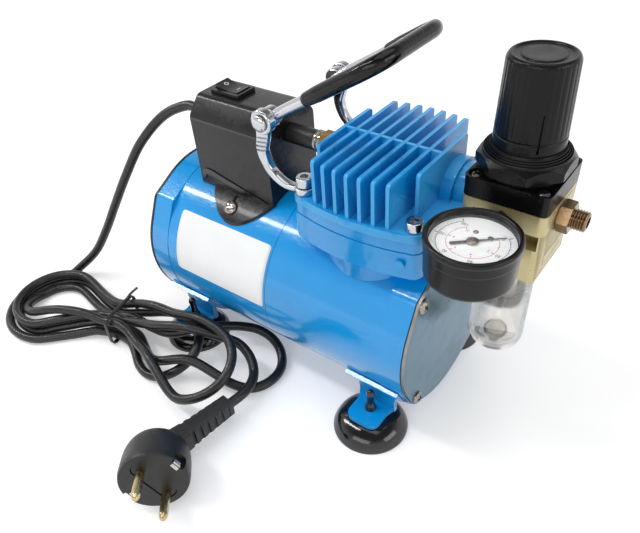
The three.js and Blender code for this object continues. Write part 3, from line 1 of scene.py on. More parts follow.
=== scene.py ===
import math

import bmesh
import bpy
from mathutils import Matrix, Vector
from mathutils.geometry import tessellate_polygon


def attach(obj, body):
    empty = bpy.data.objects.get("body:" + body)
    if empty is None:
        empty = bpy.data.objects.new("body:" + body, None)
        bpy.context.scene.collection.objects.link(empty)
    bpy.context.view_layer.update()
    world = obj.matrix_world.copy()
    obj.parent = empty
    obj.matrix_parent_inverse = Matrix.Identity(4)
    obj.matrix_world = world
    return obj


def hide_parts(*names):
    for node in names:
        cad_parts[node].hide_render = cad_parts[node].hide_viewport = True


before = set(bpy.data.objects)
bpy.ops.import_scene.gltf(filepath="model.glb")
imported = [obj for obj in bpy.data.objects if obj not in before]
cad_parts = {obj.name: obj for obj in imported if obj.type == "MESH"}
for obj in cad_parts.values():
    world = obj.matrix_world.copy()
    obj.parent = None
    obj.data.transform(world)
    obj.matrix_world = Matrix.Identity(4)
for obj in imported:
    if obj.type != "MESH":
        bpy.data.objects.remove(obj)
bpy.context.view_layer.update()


# Camera, floor and light
# The photograph looks down on the machine from its outlet end, with soft light from all round
# and a narrow strip of light high on the left, which draws a white band along the barrel.

# Millimetres with the crankshaft over x = 0 become metres in the machine's frame.
SHIFT_MM = -26.2


def at(x, y, z):
    return Vector(((x + SHIFT_MM) / 1000, y / 1000, z / 1000))


# How a camera is turned, from angles in degrees.
def aimed(azimuth, pitch, roll):
    az, p, ro = (math.radians(value) for value in (azimuth, pitch, roll))
    ahead = Vector((-math.sin(az) * math.cos(p), math.cos(az) * math.cos(p), -math.sin(p)))
    right = Vector((math.cos(az), math.sin(az), 0))
    up = right.cross(ahead)
    turned_right = math.cos(ro) * right + math.sin(ro) * up
    turned_up = -math.sin(ro) * right + math.cos(ro) * up
    return Matrix((turned_right, turned_up, -ahead)).transposed().to_4x4()


camera_data = bpy.data.cameras.new("camera")
camera_data.lens = 34.86
camera_data.sensor_width = 36
camera_data.shift_x = 0.0007
camera_data.shift_y = 0.0428
camera_data.clip_start = 0.01
camera = bpy.data.objects.new("camera", camera_data)
bpy.context.collection.objects.link(camera)
camera.matrix_world = Matrix.Translation(at(195.76, -235.24, 302.09)) @ aimed(39.66, 41.36, -4.58)
bpy.context.scene.camera = camera
bpy.context.scene.view_settings.view_transform = "Standard"


# Adds one shader node, with its own settings and with values or links for its sockets, which are
# given by name, or as i0, i1 and so on by number.
def node(tree, kind, settings=None, **sockets):
    made = tree.nodes.new("ShaderNode" + kind)
    for name, value in (settings or {}).items():
        setattr(made, name, value)
    for name, value in sockets.items():
        numbered = name[0] == "i" and name[1:].isdigit()
        socket = made.inputs[int(name[1:]) if numbered else name.replace("_", " ")]
        if isinstance(value, bpy.types.NodeSocket):
            tree.links.new(value, socket)
        else:
            socket.default_value = value
    return made


# An sRGB hex colour as linear values.
def linear(hex_colour):
    parts = [((hex_colour >> shift) & 255) / 255 for shift in (16, 8, 0)]
    return (*(p / 12.92 if p <= 0.04045 else ((p + 0.055) / 1.055) ** 2.4 for p in parts), 1)


world = bpy.data.worlds.new("studio")
world.use_nodes = True
bpy.context.scene.world = world
sky = world.node_tree
sky.nodes.clear()


# Two switches: 1 where the camera, a mirror or clear plastic looks at the backdrop, and 1 in a
# mirror alone. Where both are 0 the backdrop only lights the object.
def looked_at(tree):
    path = node(tree, "LightPath")
    mirror = path.outputs["Is Glossy Ray"]
    direct = node(tree, "Math", {"operation": "MAXIMUM"}, i0=path.outputs["Is Camera Ray"],
                  i1=path.outputs["Is Transmission Ray"])
    seen = node(tree, "Math", {"operation": "MAXIMUM"}, i0=direct.outputs[0], i1=mirror)
    return seen.outputs[0], mirror


# The backdrop is white all round. Over it a dark ceiling shows in mirrors and glossy blacks.
backdrop, mirrored = looked_at(sky)
height = node(sky, "SeparateXYZ", Vector=node(sky, "TexCoord").outputs["Generated"]).outputs["Z"]
ceiling = node(sky, "MapRange", i0=height, i1=0.38, i2=0.72, i3=0.0, i4=0.78).outputs[0]
ceiling = node(sky, "Math", {"operation": "MULTIPLY"}, i0=ceiling, i1=mirrored).outputs[0]
strength = node(sky, "MapRange", i0=backdrop, i3=0.46, i4=1.0).outputs[0]
strength = node(sky, "Math", {"operation": "SUBTRACT"}, i0=strength, i1=ceiling).outputs[0]
shine = node(sky, "Background", Color=linear(0xFFFFFF), Strength=strength)
sky.links.new(shine.outputs[0], node(sky, "OutputWorld").inputs["Surface"])

floor_mesh = bpy.data.meshes.new("floor")
floor_mesh.from_pydata([(-6, -6, 0), (6, -6, 0), (6, 6, 0), (-6, 6, 0)], [], [(0, 1, 2, 3)])
floor = bpy.data.objects.new("floor", floor_mesh)
bpy.context.collection.objects.link(floor)
floor_paint = bpy.data.materials.new("white_sweep")
floor_paint.use_nodes = True
floor_shader = floor_paint.node_tree.nodes["Principled BSDF"]
floor_shader.inputs["Base Color"].default_value = linear(0xE9E9E9)
floor_shader.inputs["Roughness"].default_value = 0.9
floor_shader.inputs["Specular IOR Level"].default_value = 0.1
floor_shader.inputs["Emission Color"].default_value = linear(0xFFFFFF)

# The floor glows a little where it is looked at, and more the farther it is, so that it stays white
# behind the object and still takes its shadow.
floor_tree = floor_paint.node_tree
backdrop = looked_at(floor_tree)[0]
far = node(floor_tree, "VectorMath", {"operation": "LENGTH"},
           i0=node(floor_tree, "TexCoord").outputs["Object"])
whiter = node(floor_tree, "MapRange", i0=far.outputs["Value"], i1=0.5, i2=1.6, i3=0.3, i4=1.0)
glow = node(floor_tree, "Math", {"operation": "MULTIPLY"}, i0=backdrop, i1=whiter.outputs[0])
floor_tree.links.new(glow.outputs[0], floor_shader.inputs["Emission Strength"])
floor_mesh.materials.append(floor_paint)


def soft_light(name, place, target, wide, high, watts, along=(1, 0, 0)):
    data = bpy.data.lights.new(name, "AREA")
    data.shape = "RECTANGLE"
    data.size, data.size_y, data.energy = wide, high, watts
    lamp = bpy.data.objects.new(name, data)
    bpy.context.collection.objects.link(lamp)
    # A lamp shines along its own -Z, and its long side lies along the given direction.
    back = (Vector(place) - Vector(target)).normalized()
    side = (Vector(along) - back * back.dot(Vector(along))).normalized()
    turned = Matrix((side, back.cross(side), back)).transposed()
    lamp.matrix_world = Matrix.Translation(place) @ turned.to_4x4()


# The strip draws the white band along the barrel's upper front. The others fill from the front,
# the top and the outlet end.
soft_light("left_strip", (-0.88, -0.41, 1.17), (0, 0, 0.1), 1.3, 0.12, 9.5, (0.89, -0.155, 0.43))
soft_light("front_panel", (0.1, -1.25, 0.9), (0, 0, 0.08), 1.2, 0.5, 4.5)
soft_light("overhead", (0.1, 0.25, 1.7), (0, 0, 0), 1.4, 1.4, 8)
soft_light("right_side", (1.25, 0.1, 0.7), (0.05, 0, 0.1), 0.9, 0.5, 3.5, (0, 1, 0))


# Mains lead
# Three-core cable in a round black sheath. It leaves the switch box, drops to the floor, and is
# folded into a hank whose turns fan out in front of the machine. Points are the same as the CAD's.
# CORD_MM is the cable's radius, and GAP the room between pieces, as the CAD has it.
CORD_MM, GAP = 3.1, 0.3
CUP_X, CUP_Y = 71.5, 47.7


# A centripetal curve through points, cut into equal steps.
def spaced(points, step):
    points = [Vector(p) for p in points]
    ends = [2 * points[0] - points[1], *points, 2 * points[-1] - points[-2]]
    fine = []
    for p0, p1, p2, p3 in zip(ends, ends[1:], ends[2:], ends[3:]):
        d0, d1, d2 = ((b - a).length ** 0.5 for a, b in ((p0, p1), (p1, p2), (p2, p3)))
        d1 = d1 if d1 > 1e-4 else 1
        d0 = d0 if d0 > 1e-4 else d1
        d2 = d2 if d2 > 1e-4 else d1
        leave = ((p1 - p0) / d0 - (p2 - p0) / (d0 + d1) + (p2 - p1) / d1) * d1
        reach = ((p2 - p1) / d1 - (p3 - p1) / (d1 + d2) + (p3 - p2) / d2) * d1
        for i in range(40):
            t = i / 40
            fine.append(p1 + t * leave + t * t * (3 * (p2 - p1) - 2 * leave - reach)
                        + t ** 3 * (2 * (p1 - p2) + leave + reach))
    fine.append(points[-1])
    along = [0.0]
    for a, b in zip(fine, fine[1:]):
        along.append(along[-1] + (b - a).length)
    count = max(1, math.ceil(along[-1] / step))
    out, k = [], 0
    for i in range(count + 1):
        want = along[-1] * i / count
        while k < len(fine) - 2 and along[k + 1] < want:
            k += 1
        gap = along[k + 1] - along[k]
        out.append(fine[k].lerp(fine[k + 1], (want - along[k]) / gap if gap else 0))
    return out


# Points on a circle's arc between two angles.
def sweep(x, y, radius, start, end, count):
    angles = [math.radians(start + (end - start) * i / count) for i in range(count + 1)]
    return [(x + radius * math.cos(a), y + radius * math.sin(a), 0) for a in angles]


TIE_X, TIE_Y, TIE_TURN = -115, -77, math.radians(11)


# A place on the floor measured from the tie, along the bundle and across it.
def beside_tie(along, across):
    return (TIE_X + along * math.cos(TIE_TURN) - across * math.sin(TIE_TURN),
            TIE_Y + along * math.sin(TIE_TURN) + across * math.cos(TIE_TURN), 0)


# The height of what lies under the cable: the floor, the tie's band, or the front left cup.
def ground(x, y):
    cup_x, cup_y = x + CUP_X, y + CUP_Y
    away = math.hypot(cup_x, cup_y)
    if abs(cup_x) < 10 + CORD_MM and y > -59.5 - CORD_MM and away < 21.9 + 2 * CORD_MM:
        return 15.3
    if away < 21.9 + CORD_MM:
        return 11.7 * (1 - (away / (21.9 + CORD_MM)) ** 3) + GAP
    return 1.8 if math.hypot(x - TIE_X, y - TIE_Y) < 22 else 0


# The four strands of the hank in plan. All pass through the tie, and their folds grow smaller.
def hank_strands():
    lane, outer, fold = 7.3, 35, (-176, -89)
    through = lambda across: [beside_tie(-13, across), beside_tie(13, across)]
    back = lambda across: through(across)[::-1]
    wide = lambda radius: sweep(*fold, radius, 80, 180, 8)
    under = lambda radius: sweep(*fold, radius, 180, 298, 9)
    small = sweep(-69, -76.5, 21.5, -116, 105, 9)
    far = [(-66, -91, 0), (-40, -80, 0), *sweep(-19, -54, 22, -75, 140, 8), (-64, -71, 0)]
    low = sweep(-33, -82.5, 22, -107, 93, 8)
    last = [(-74, -75, 0), (-50, -67, 0), *sweep(-22.9, -79.1, 24, 95, -6, 6)]
    return [
        [*sweep(*fold, outer, 140, 170, 2), *under(outer), *through(-1.5 * lane), *small,
         *back(1.5 * lane), *wide(outer - lane)],
        [*under(outer - lane), *through(-0.5 * lane), *far, *back(0.5 * lane), *wide(outer - 2 * lane)],
        [*under(outer - 2 * lane), *through(-1.5 * lane), *low, *back(1.5 * lane), *wide(outer - lane)],
        [*under(outer - lane), *through(-0.5 * lane), *last],
    ]


# Each strand lies on the floor, on the foot or over the strands laid before it, in low humps.
def settled(strands, order, clear=7.2, beside=6.85, slope=0.32, step=3, join_steps=10):
    down = {}
    for number in order:
        points = spaced(strands[number], step)
        least = []
        for i, point in enumerate(points):
            earlier = []
            for other, places in down.items():
                from_start = max(0, join_steps - (len(points) - 1 - i)) if other == number + 1 else 0
                from_end = max(0, join_steps - i) if other == number - 1 else 0
                earlier += places[from_start:len(places) - from_end]
            height = ground(point.x, point.y) + CORD_MM + GAP
            for lower in earlier:
                flat = (lower.x - point.x) ** 2 + (lower.y - point.y) ** 2
                if flat < beside ** 2:
                    height = max(height, lower.z + math.sqrt(clear ** 2 - flat))
            least.append(height)
        spread = [max(other - slope * step * max(0, abs(i - j) - 1) for j, other in enumerate(least))
                  for i in range(len(points))]
        for i, point in enumerate(points):
            near = spread[max(0, i - 2):i + 3]
            point.z = max(least[i], sum(near) / len(near))
        down[number] = points
    whole = [point for number in range(len(strands)) for point in down[number][1 if number else 0:]]
    heights = [max(whole[j].z - slope * step * abs(i - j)
                   for j in range(max(0, i - 30), min(len(whole), i + 31))) for i in range(len(whole))]
    for point, height in zip(whole, heights):
        point.z = height
    return whole


# The last turns rise to the plug's strain relief, and the first hangs down from the gland.
relief_end = Vector((-0.5, -91, 12.5))
arm_axis = Vector((0.16, 0.987, 0)).normalized()
hank = settled(hank_strands(), (0, 1, 3, 2))
for i in range(1, 19):
    hank[-i].z = max(hank[-i].z, relief_end.z - 0.32 * 3 * max(0, i - 6))
straight_in = [relief_end + arm_axis * away for away in (8.2, CORD_MM, GAP)]
while (hank[-1] - straight_in[0]).length < 6:
    hank.pop()
hank += straight_in
entry = hank[0]
into_hank = (hank[1] - hank[0]).normalized()
# The gland is 22 mm long and starts 5 mm inside the box's left face.
gland_end = -66.5 + 5 - GAP - 22
drop = [(gland_end - GAP, 0, 143), (gland_end - 7, 0, 143), (-109, -5, 135), (-127, -15, 116),
        (-142, -24, 91), (-155.5, -31.5, 66), (-167.5, -38, 43.5), (-179.5, -45, 24)]
landing = entry - 14.3 * into_hank
drop += [(landing.x, landing.y, entry.z + 4.5), tuple(entry - 6.3 * into_hank)]
route = spaced([*drop, *hank[1:]], 2.5)


# A broken pattern of values between two limits, at a scale in millimetres.
def mottled(tree, scale_mm, low, high, detail=4.0):
    place = node(tree, "TexCoord").outputs["Object"]
    # The noise seldom leaves 0.3 to 0.7.
    noise = node(tree, "TexNoise", Vector=place, Scale=1000 / scale_mm, Detail=detail)
    return node(tree, "MapRange", i0=noise.outputs["Fac"], i1=0.3, i2=0.7, i3=low, i4=high).outputs[0]


# A material with slow shifts of colour and gloss, and a fine relief. Sizes are in millimetres, and
# grain finer than about 0.2 mm, which would not show, is drawn that coarse. An edge colour lightens
# the ridges: on the fins it is a painted highlight, on the regulator's body just lighter edges.
def finish(name, colour, rough, metal=0.0, shade=0.12, patch_mm=25, grain_mm=0.6, relief=0.05,
           rough_shift=0.06, coat=0.0, edge=None, specular=0.5):
    made = bpy.data.materials.new(name)
    made.use_nodes = True
    tree = made.node_tree
    shader = tree.nodes["Principled BSDF"]
    dark = node(tree, "MixRGB", {"blend_type": "MULTIPLY"}, i0=mottled(tree, patch_mm, 0.0, 1.0),
                i1=linear(colour), i2=(1 - shade, 1 - shade, 1 - shade, 1))
    paint = dark.outputs[0]
    if edge is not None:
        # Pointiness is 0.5 on a flat and more on a ridge, where the lighter edge colour is painted in.
        points = node(tree, "NewGeometry").outputs["Pointiness"]
        ridge = node(tree, "MapRange", i0=points, i1=0.53, i2=0.62, i3=0.0, i4=edge[1])
        paint = node(tree, "MixRGB", i0=ridge.outputs[0], i1=paint, i2=linear(edge[0])).outputs[0]
    tree.links.new(paint, shader.inputs["Base Color"])
    tree.links.new(mottled(tree, patch_mm / 3, rough - rough_shift, rough + rough_shift),
                   shader.inputs["Roughness"])
    shader.inputs["Metallic"].default_value = metal
    shader.inputs["Specular IOR Level"].default_value = specular
    shader.inputs["Coat Weight"].default_value = coat
    shader.inputs["Coat Roughness"].default_value = 0.08
    grain = mottled(tree, grain_mm, 0.0, 1.0, detail=2.0)
    # The grain is a quarter as deep as it is wide, before its strength.
    bump = node(tree, "Bump", Strength=relief, Distance=grain_mm / 4000, Height=grain)
    tree.links.new(bump.outputs[0], shader.inputs["Normal"])
    return made


# Extruded soft PVC: near black and satin, with faint mottling along the turns.
cable_sheath = finish("black_pvc_sheath", 0x19181A, 0.33, shade=0.25, patch_mm=9, grain_mm=0.5,
                      relief=0.25, rough_shift=0.09)


# A round cable along a path given in millimetres.
def curve_piece(name, points, radius_mm, material, body):
    data = bpy.data.curves.new(name, "CURVE")
    data.dimensions = "3D"
    data.bevel_depth = radius_mm / 1000
    data.bevel_resolution = 6
    data.use_fill_caps = True
    spline = data.splines.new("POLY")
    spline.points.add(len(points) - 1)
    for slot, point in zip(spline.points, points):
        slot.co = (*at(*point), 1)
    data.materials.append(material)
    made = bpy.data.objects.new(name, data)
    bpy.context.collection.objects.link(made)
    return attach(made, body)


lead = curve_piece("mains_lead", route, CORD_MM, cable_sheath, "machine")
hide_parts("cord_lead", "cord_hank")


# Tie of the hank
# A wire band in a flat plastic coat. It goes round all four strands, is twisted once by hand, and
# ends in a short loose tail.


# An outline or profile whose corners are rounded where a third number gives the cut-back.
def rounded(corners, closed=False, steps=5):
    out = []
    last = len(corners) - 1
    for i, (a, b, *turn) in enumerate(corners):
        here = Vector((a, b))
        if not turn or (not closed and i in (0, last)):
            out.append(here)
            continue
        before = Vector(corners[i - 1][:2]) - here
        after = Vector(corners[(i + 1) % (last + 1)][:2]) - here
        start = here + before.normalized() * min(turn[0], before.length * 0.49)
        end = here + after.normalized() * min(turn[0], after.length * 0.49)
        for k in range(steps + 1):
            t = k / steps
            out.append((1 - t) ** 2 * start + 2 * t * (1 - t) * here + t * t * end)
    return out


def circle(radius, u=0.0, v=0.0, sides=96):
    return [(u + radius * math.cos(2 * math.pi * i / sides),
             v + radius * math.sin(2 * math.pi * i / sides))
            for i in range(sides)]


def rectangle(half_u, half_v, radius, u=0.0, v=0.0):
    corners = [(u + a * half_u, v + b * half_v, radius)
               for a, b in ((1, 1), (-1, 1), (-1, -1), (1, -1))]
    return rounded(corners, closed=True)


# A clean mesh from places in the machine's millimetres.
def built(points, faces):
    mesh = bpy.data.meshes.new("work")
    mesh.from_pydata([at(*p) for p in points], [], faces)
    work = bmesh.new()
    work.from_mesh(mesh)
    bmesh.ops.remove_doubles(work, verts=work.verts, dist=2e-6)
    bmesh.ops.recalc_face_normals(work, faces=work.faces)
    work.to_mesh(mesh)
    work.free()
    return mesh


# A bar along a path. Sizes are half widths across and along a side direction, at each point.
def lofted(path, sizes, side, power=2.0, sides=28):
    path = [Vector(p) for p in path]
    points, faces = [], []
    last = len(path) - 1
    for i, (place, (across, along)) in enumerate(zip(path, sizes)):
        ahead = (path[min(i + 1, last)] - path[max(i - 1, 0)]).normalized()
        aside = (Vector(side) - ahead * ahead.dot(Vector(side))).normalized()
        up = ahead.cross(aside)
        for u, v in circle(1, sides=sides):
            u = math.copysign(abs(u) ** (2 / power), u)
            v = math.copysign(abs(v) ** (2 / power), v)
            points.append(place + up * u * across + aside * v * along)
    for i in range(last):
        for k in range(sides):
            j = (k + 1) % sides
            faces.append((i * sides + k, i * sides + j, (i + 1) * sides + j, (i + 1) * sides + k))
    faces += [tuple(range(sides)), tuple(range(last * sides, (last + 1) * sides))]
    return built(points, faces)


# Several meshes side by side in one.
def together(*meshes):
    work = bmesh.new()
    for mesh in meshes:
        work.from_mesh(mesh)
    whole = bpy.data.meshes.new("work")
    work.to_mesh(whole)
    work.free()
    return whole


# One piece of the machine: its mesh and material, the body it rides on, and the nodes that
# it stands for, which is the node of its own name if there is one. The bevel is in millimetres and
# catches the light along the edges.
def piece(name, mesh, material, body="machine", replaces=None, bevel=0.0, sharp=32):
    mesh.materials.clear()
    mesh.materials.append(material)
    mesh.shade_smooth()
    mesh.set_sharp_from_angle(angle=math.radians(sharp))
    made = bpy.data.objects.new(name, mesh)
    bpy.context.collection.objects.link(made)
    if bevel:
        edges = made.modifiers.new("edges", "BEVEL")
        edges.width = bevel / 1000
        edges.segments = 3
        edges.limit_method = "ANGLE"
        edges.angle_limit = math.radians(sharp)
        edges.harden_normals = True
    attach(made, body)
    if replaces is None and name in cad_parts:
        replaces = [name]
    if replaces:
        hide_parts(*replaces)
    return made


# Plastic skin on a wire: black, a little shinier than the cable.
tie_plastic = finish("tie_plastic", 0x1B1A1B, 0.3, patch_mm=5, grain_mm=0.4, relief=0.15)
tie_along = Vector((math.cos(TIE_TURN), math.sin(TIE_TURN), 0))
tie_across = Vector((-math.sin(TIE_TURN), math.cos(TIE_TURN), 0))
tie_middle = Vector((TIE_X, TIE_Y, 0))
bound = [p for p in hank if abs((p - tie_middle).dot(tie_along)) < 3]
tie_half = max(abs((p - tie_middle).dot(tie_across)) for p in bound) + CORD_MM + 0.6
tie_top = max(p.z for p in bound) + CORD_MM + 0.6
loop = rectangle(tie_half + 0.6, tie_top / 2 + 0.3, 3.8, 0, tie_top / 2 + 0.3)
band_path = [tie_middle + tie_across * u + Vector((0, 0, v + 0.6)) for u, v in loop]
band_path = [*band_path, band_path[0], band_path[1]]
band = lofted(band_path, [(0.55, 1.5)] * len(band_path), tie_along, power=4, sides=16)
tail_start = tie_middle + tie_across * (tie_half - 6) + Vector((0, 0, tie_top + 0.9))
tail_steps = [i / 10 for i in range(11)]
tail_path = [tail_start + Vector((3, 6, 10)) * (t * (1 - t)) + Vector((4, 9, 7)) * t * t
             for t in tail_steps]
tail = lofted(tail_path, [(0.5, 0.9)] * 11, tie_along, power=3, sides=12)
tie = piece("tie", together(band, tail), tie_plastic, replaces=["cord_tie"])


# Plug
# Moulded round plug with a ribbed strain relief, two brass pins in a carrier and two earth clips.
# It lies on the rear edge of its drum, with the pins tilted up.

plug_tilt, plug_turn, pin_turn = (math.radians(value) for value in (12, -46, -58))
plug_out = Vector((math.cos(plug_turn) * math.cos(plug_tilt), math.sin(plug_turn) * math.cos(plug_tilt),
                   math.sin(plug_tilt)))
plug_right = Vector((-math.sin(plug_turn), math.cos(plug_turn), 0))
plug_up = plug_out.cross(plug_right)
PLUG_R, PLUG_DEEP, PIN_GAP = 18.8, 25, 19
plug_face = Vector((8.9, -155.5, GAP + PLUG_R * math.cos(plug_tilt) + PLUG_DEEP * math.sin(plug_tilt)))
pin_line = math.cos(pin_turn) * plug_right + math.sin(pin_turn) * plug_up
clip_line = plug_out.cross(pin_line)


def own_frame(u, v, w, origin):
    return Matrix.Translation(origin) @ Matrix((u, v, w)).transposed().to_4x4()


# A profile of (radius, height) corners turned round an axis.
def spun(profile, place, axis=(0, 0, 1), sides=96, closed=False):
    axis, place = Vector(axis).normalized(), Vector(place)
    side = axis.orthogonal().normalized()
    other = axis.cross(side)
    points, rings, faces = [], [], []
    for radius, height in rounded(profile, closed):
        start = len(points)
        if radius < 1e-6:
            points.append(place + axis * height)
        else:
            points += [place + axis * height + side * u + other * v
                       for u, v in circle(radius, sides=sides)]
        rings.append(range(start, len(points)))
    for low, high in zip(rings, [*rings[1:], rings[0]] if closed else rings[1:]):
        for i in range(sides):
            j = (i + 1) % sides
            quad = [low[i % len(low)], low[j % len(low)], high[j % len(high)], high[i % len(high)]]
            quad = list(dict.fromkeys(quad))
            if len(quad) > 2:
                faces.append(quad)
    return built(points, faces)


# An outline, with holes, stretched along an axis. It is drawn in (y, z), (z, x) or (x, y), or in a
# frame of its own.
def slab(outline, low, high, axis="z", holes=(), own=None):
    loops = [[tuple(p)[:2] for p in loop] for loop in (outline, *holes)]
    flat = [(a, b) for loop in loops for a, b in loop]
    place = {"x": lambda a, b, c: Vector((c, a, b)), "y": lambda a, b, c: Vector((b, c, a)),
             "z": lambda a, b, c: Vector((a, b, c))}[axis]
    points = [place(a, b, c) for c in (low, high) for a, b in flat]
    if own is not None:
        points = [own @ p for p in points]
    count = len(flat)
    caps = tessellate_polygon([[Vector((a, b, 0)) for a, b in loop] for loop in loops])
    faces = [tuple(face) for face in caps] + [tuple(i + count for i in reversed(face)) for face in caps]
    start = 0
    for loop in loops:
        size = len(loop)
        for i in range(size):
            j = (i + 1) % size
            faces.append((start + i, start + j, start + j + count, start + i + count))
        start += size
    return built(points, faces)


# A mesh joined with others, or cut or limited by them, as solids.
def combined(mesh, others, operation="UNION"):
    made = []
    for each in (mesh, *others):
        made.append(bpy.data.objects.new("work", each))
        bpy.context.collection.objects.link(made[-1])
    for tool in made[1:]:
        change = made[0].modifiers.new("change", "BOOLEAN")
        change.operation, change.object, change.solver = operation, tool, "MANIFOLD"
    bpy.context.view_layer.update()
    changed = made[0].evaluated_get(bpy.context.evaluated_depsgraph_get())
    result = bpy.data.meshes.new_from_object(changed)
    for each in made:
        bpy.data.objects.remove(each)
    return result


def cut(mesh, *others):
    return combined(mesh, others, "DIFFERENCE")


face_frame = own_frame(pin_line, clip_line, plug_out, plug_face)
drum = spun([(0, 0), (PLUG_R - 4, 0, 3), (PLUG_R - 0.6, 7, 6), (PLUG_R, PLUG_DEEP - 3, 1),
             (PLUG_R - 0.6, PLUG_DEEP, 0.8), (0, PLUG_DEEP)], plug_face - PLUG_DEEP * plug_out,
             plug_out)
UP = Vector((0, 0, 1))
arm_side = arm_axis.cross(UP)
arm_path, arm_sizes = [], []
for away, high, wide in ((0, 5.6, 5.2), (10, 5.8, 5.6), (24, 6.2, 6.2), (36, 7, 7.2), (46, 7.4, 9.6),
                         (58, 7.2, 11)):
    arm_path.append(relief_end - arm_axis * away)
    arm_sizes.append((high, wide))
arm = lofted(arm_path, arm_sizes, arm_side, power=4.5, sides=40)
ribs = []
for i in range(6):
    for half in (-1, 1):
        middle = relief_end - arm_axis * (4 + i * 5) + arm_side * half * (CORD_MM + 3.4)
        groove = rectangle(1.25, 2.1, 0.5)
        ribs.append(slab(groove, -20, 20, own=own_frame(arm_axis, arm_side, UP, middle)))
pocket = slab(rectangle(PIN_GAP / 2 + 5, 4.6, 4.2), -3.3, 4, own=face_frame)
notches = [slab(rectangle(4, 3, 0.6), -6, 4, own=face_frame @ Matrix.Translation((0, half * PLUG_R, 0)))
           for half in (-1, 1)]
under_floor = slab(rectangle(90, 90, 1, 0, -130), -30, 0.2)

# Soft PVC from a fine-grained mould: dull black with broad, weak highlights.
plug_rubber = finish("moulded_plug_rubber", 0x1A191A, 0.42, shade=0.2, patch_mm=12, grain_mm=0.35,
                     relief=0.3)
plug_shell = cut(combined(drum, [cut(arm, *ribs)]), pocket, *notches, under_floor)
plug = piece("plug_body", plug_shell, plug_rubber, bevel=0.35)

carrier = slab(rectangle(PIN_GAP / 2 + 4.7, 4.3, 4), -3.3, -0.5, own=face_frame)
carrier_piece = piece("pin_carrier", carrier, plug_rubber, bevel=0.3)
pin_places = [plug_face + half * PIN_GAP / 2 * pin_line for half in (-1, 1)]
pin_meshes = [spun([(0, -3), (2.4, -3), (2.4, 16.4, 1), (1.3, 19, 0.9), (0, 19)], place, plug_out,
                   sides=48)
              for place in pin_places]

# Brass under thin nickel: pale gold and bright.
pin_brass = finish("nickelled_brass_pins", 0xC9B48A, 0.24, metal=1, patch_mm=6, grain_mm=0.3,
                   relief=0.12)
pins = piece("plug_pins", together(*pin_meshes), pin_brass)
clips = []
for half in (-1, 1):
    lane = [(half * (PLUG_R - 3.4), -5), (half * (PLUG_R - 2.6), -2.5), (half * (PLUG_R - 3.0), -0.6),
            (half * (PLUG_R - 5.2), 0.15)]
    path = spaced([plug_face + clip_line * v + plug_out * w for v, w in lane], 0.4)
    clips.append(lofted(path, [(0.3, 2.4)] * len(path), pin_line, power=5, sides=16))

# Bare spring steel: grey, brightest where it bends.
clip_steel = finish("spring_steel", 0xC4C2BC, 0.28, metal=1, patch_mm=4, grain_mm=0.3, relief=0.15)
earth_clips = piece("earth_clips", together(*clips), clip_steel)


# Motor casting, crankcase casting and label
# Two die-cast aluminium shells in glossy enamel meet at a seam round the barrel. Their ends are
# squared up by four ears for the cover screws, and slots low on both sides let the air through.

# The crankshaft's height, the barrel's radius and half length, and where the cylinder stands.
AXIS, BARREL, HALF, HEAD_X = 60.7, 51.5, 92, 54

# Stoved enamel on a casting: glossy azure, whose slight orange peel breaks up highlights.
blue_enamel = finish("azure_enamel", 0x0698E2, 0.2, shade=0.1, patch_mm=40, grain_mm=1.5, relief=0.22,
                     rough_shift=0.04, coat=0.8, specular=0.3)


# The shell's end in (y, z): the barrel's circle with four low ears.
def ear_outline(grow=0.0):
    radius, tip = BARREL + grow, BARREL + 2.7 + grow
    half = math.acos(radius / tip)
    corners = []
    for side in range(4):
        middle = (side + 0.5) * math.pi / 2
        corners.append((tip * math.cos(middle), AXIS + tip * math.sin(middle), 2.5))
        for i in range(25):
            angle = middle + half + (math.pi / 2 - 2 * half) * i / 24
            corners.append((radius * math.cos(angle), AXIS + radius * math.sin(angle)))
    return rounded(corners, closed=True, steps=4)


# A slot through the wall, at an angle round the barrel.
def vent(x, angle):
    turn = math.radians(angle)
    out = Vector((0, math.cos(turn), math.sin(turn)))
    origin = Vector((x, 0, AXIS)) + out * (BARREL - 10)
    return slab(rectangle(7.5, 2.25, 1.6), 0, 20,
                own=own_frame(Vector((1, 0, 0)), out.cross((1, 0, 0)), out, origin))


# One half of the shell, with its ears' length and its slots.
def casting(x0, x1, ear0, ear1, vents):
    bore = circle(BARREL - 3.5, 0, AXIS)
    tube = slab(circle(BARREL, 0, AXIS, sides=180), x0, x1, "x", holes=[bore])
    ears = slab(ear_outline(GAP), ear0, ear1, "x", holes=[bore])
    slots = [vent(x, angle) for x in vents for angle in (213, 327)]
    return cut(combined(tube, [ears]), *slots)


piece("motor_housing", casting(-HALF, 1.85, -HALF, -HALF + 14, (-34, -14)), blue_enamel,
      bevel=0.35, sharp=24)
# An opening under the cylinder lets the rod through.
rod_room = spun([(0, 90), (20, 90), (20, 126), (0, 126)], (HEAD_X, 0, 0))
piece("crankcase_housing", cut(casting(2.15, HALF, HALF - 14, HALF, (15,)), rod_room), blue_enamel,
      bevel=0.35, sharp=24)

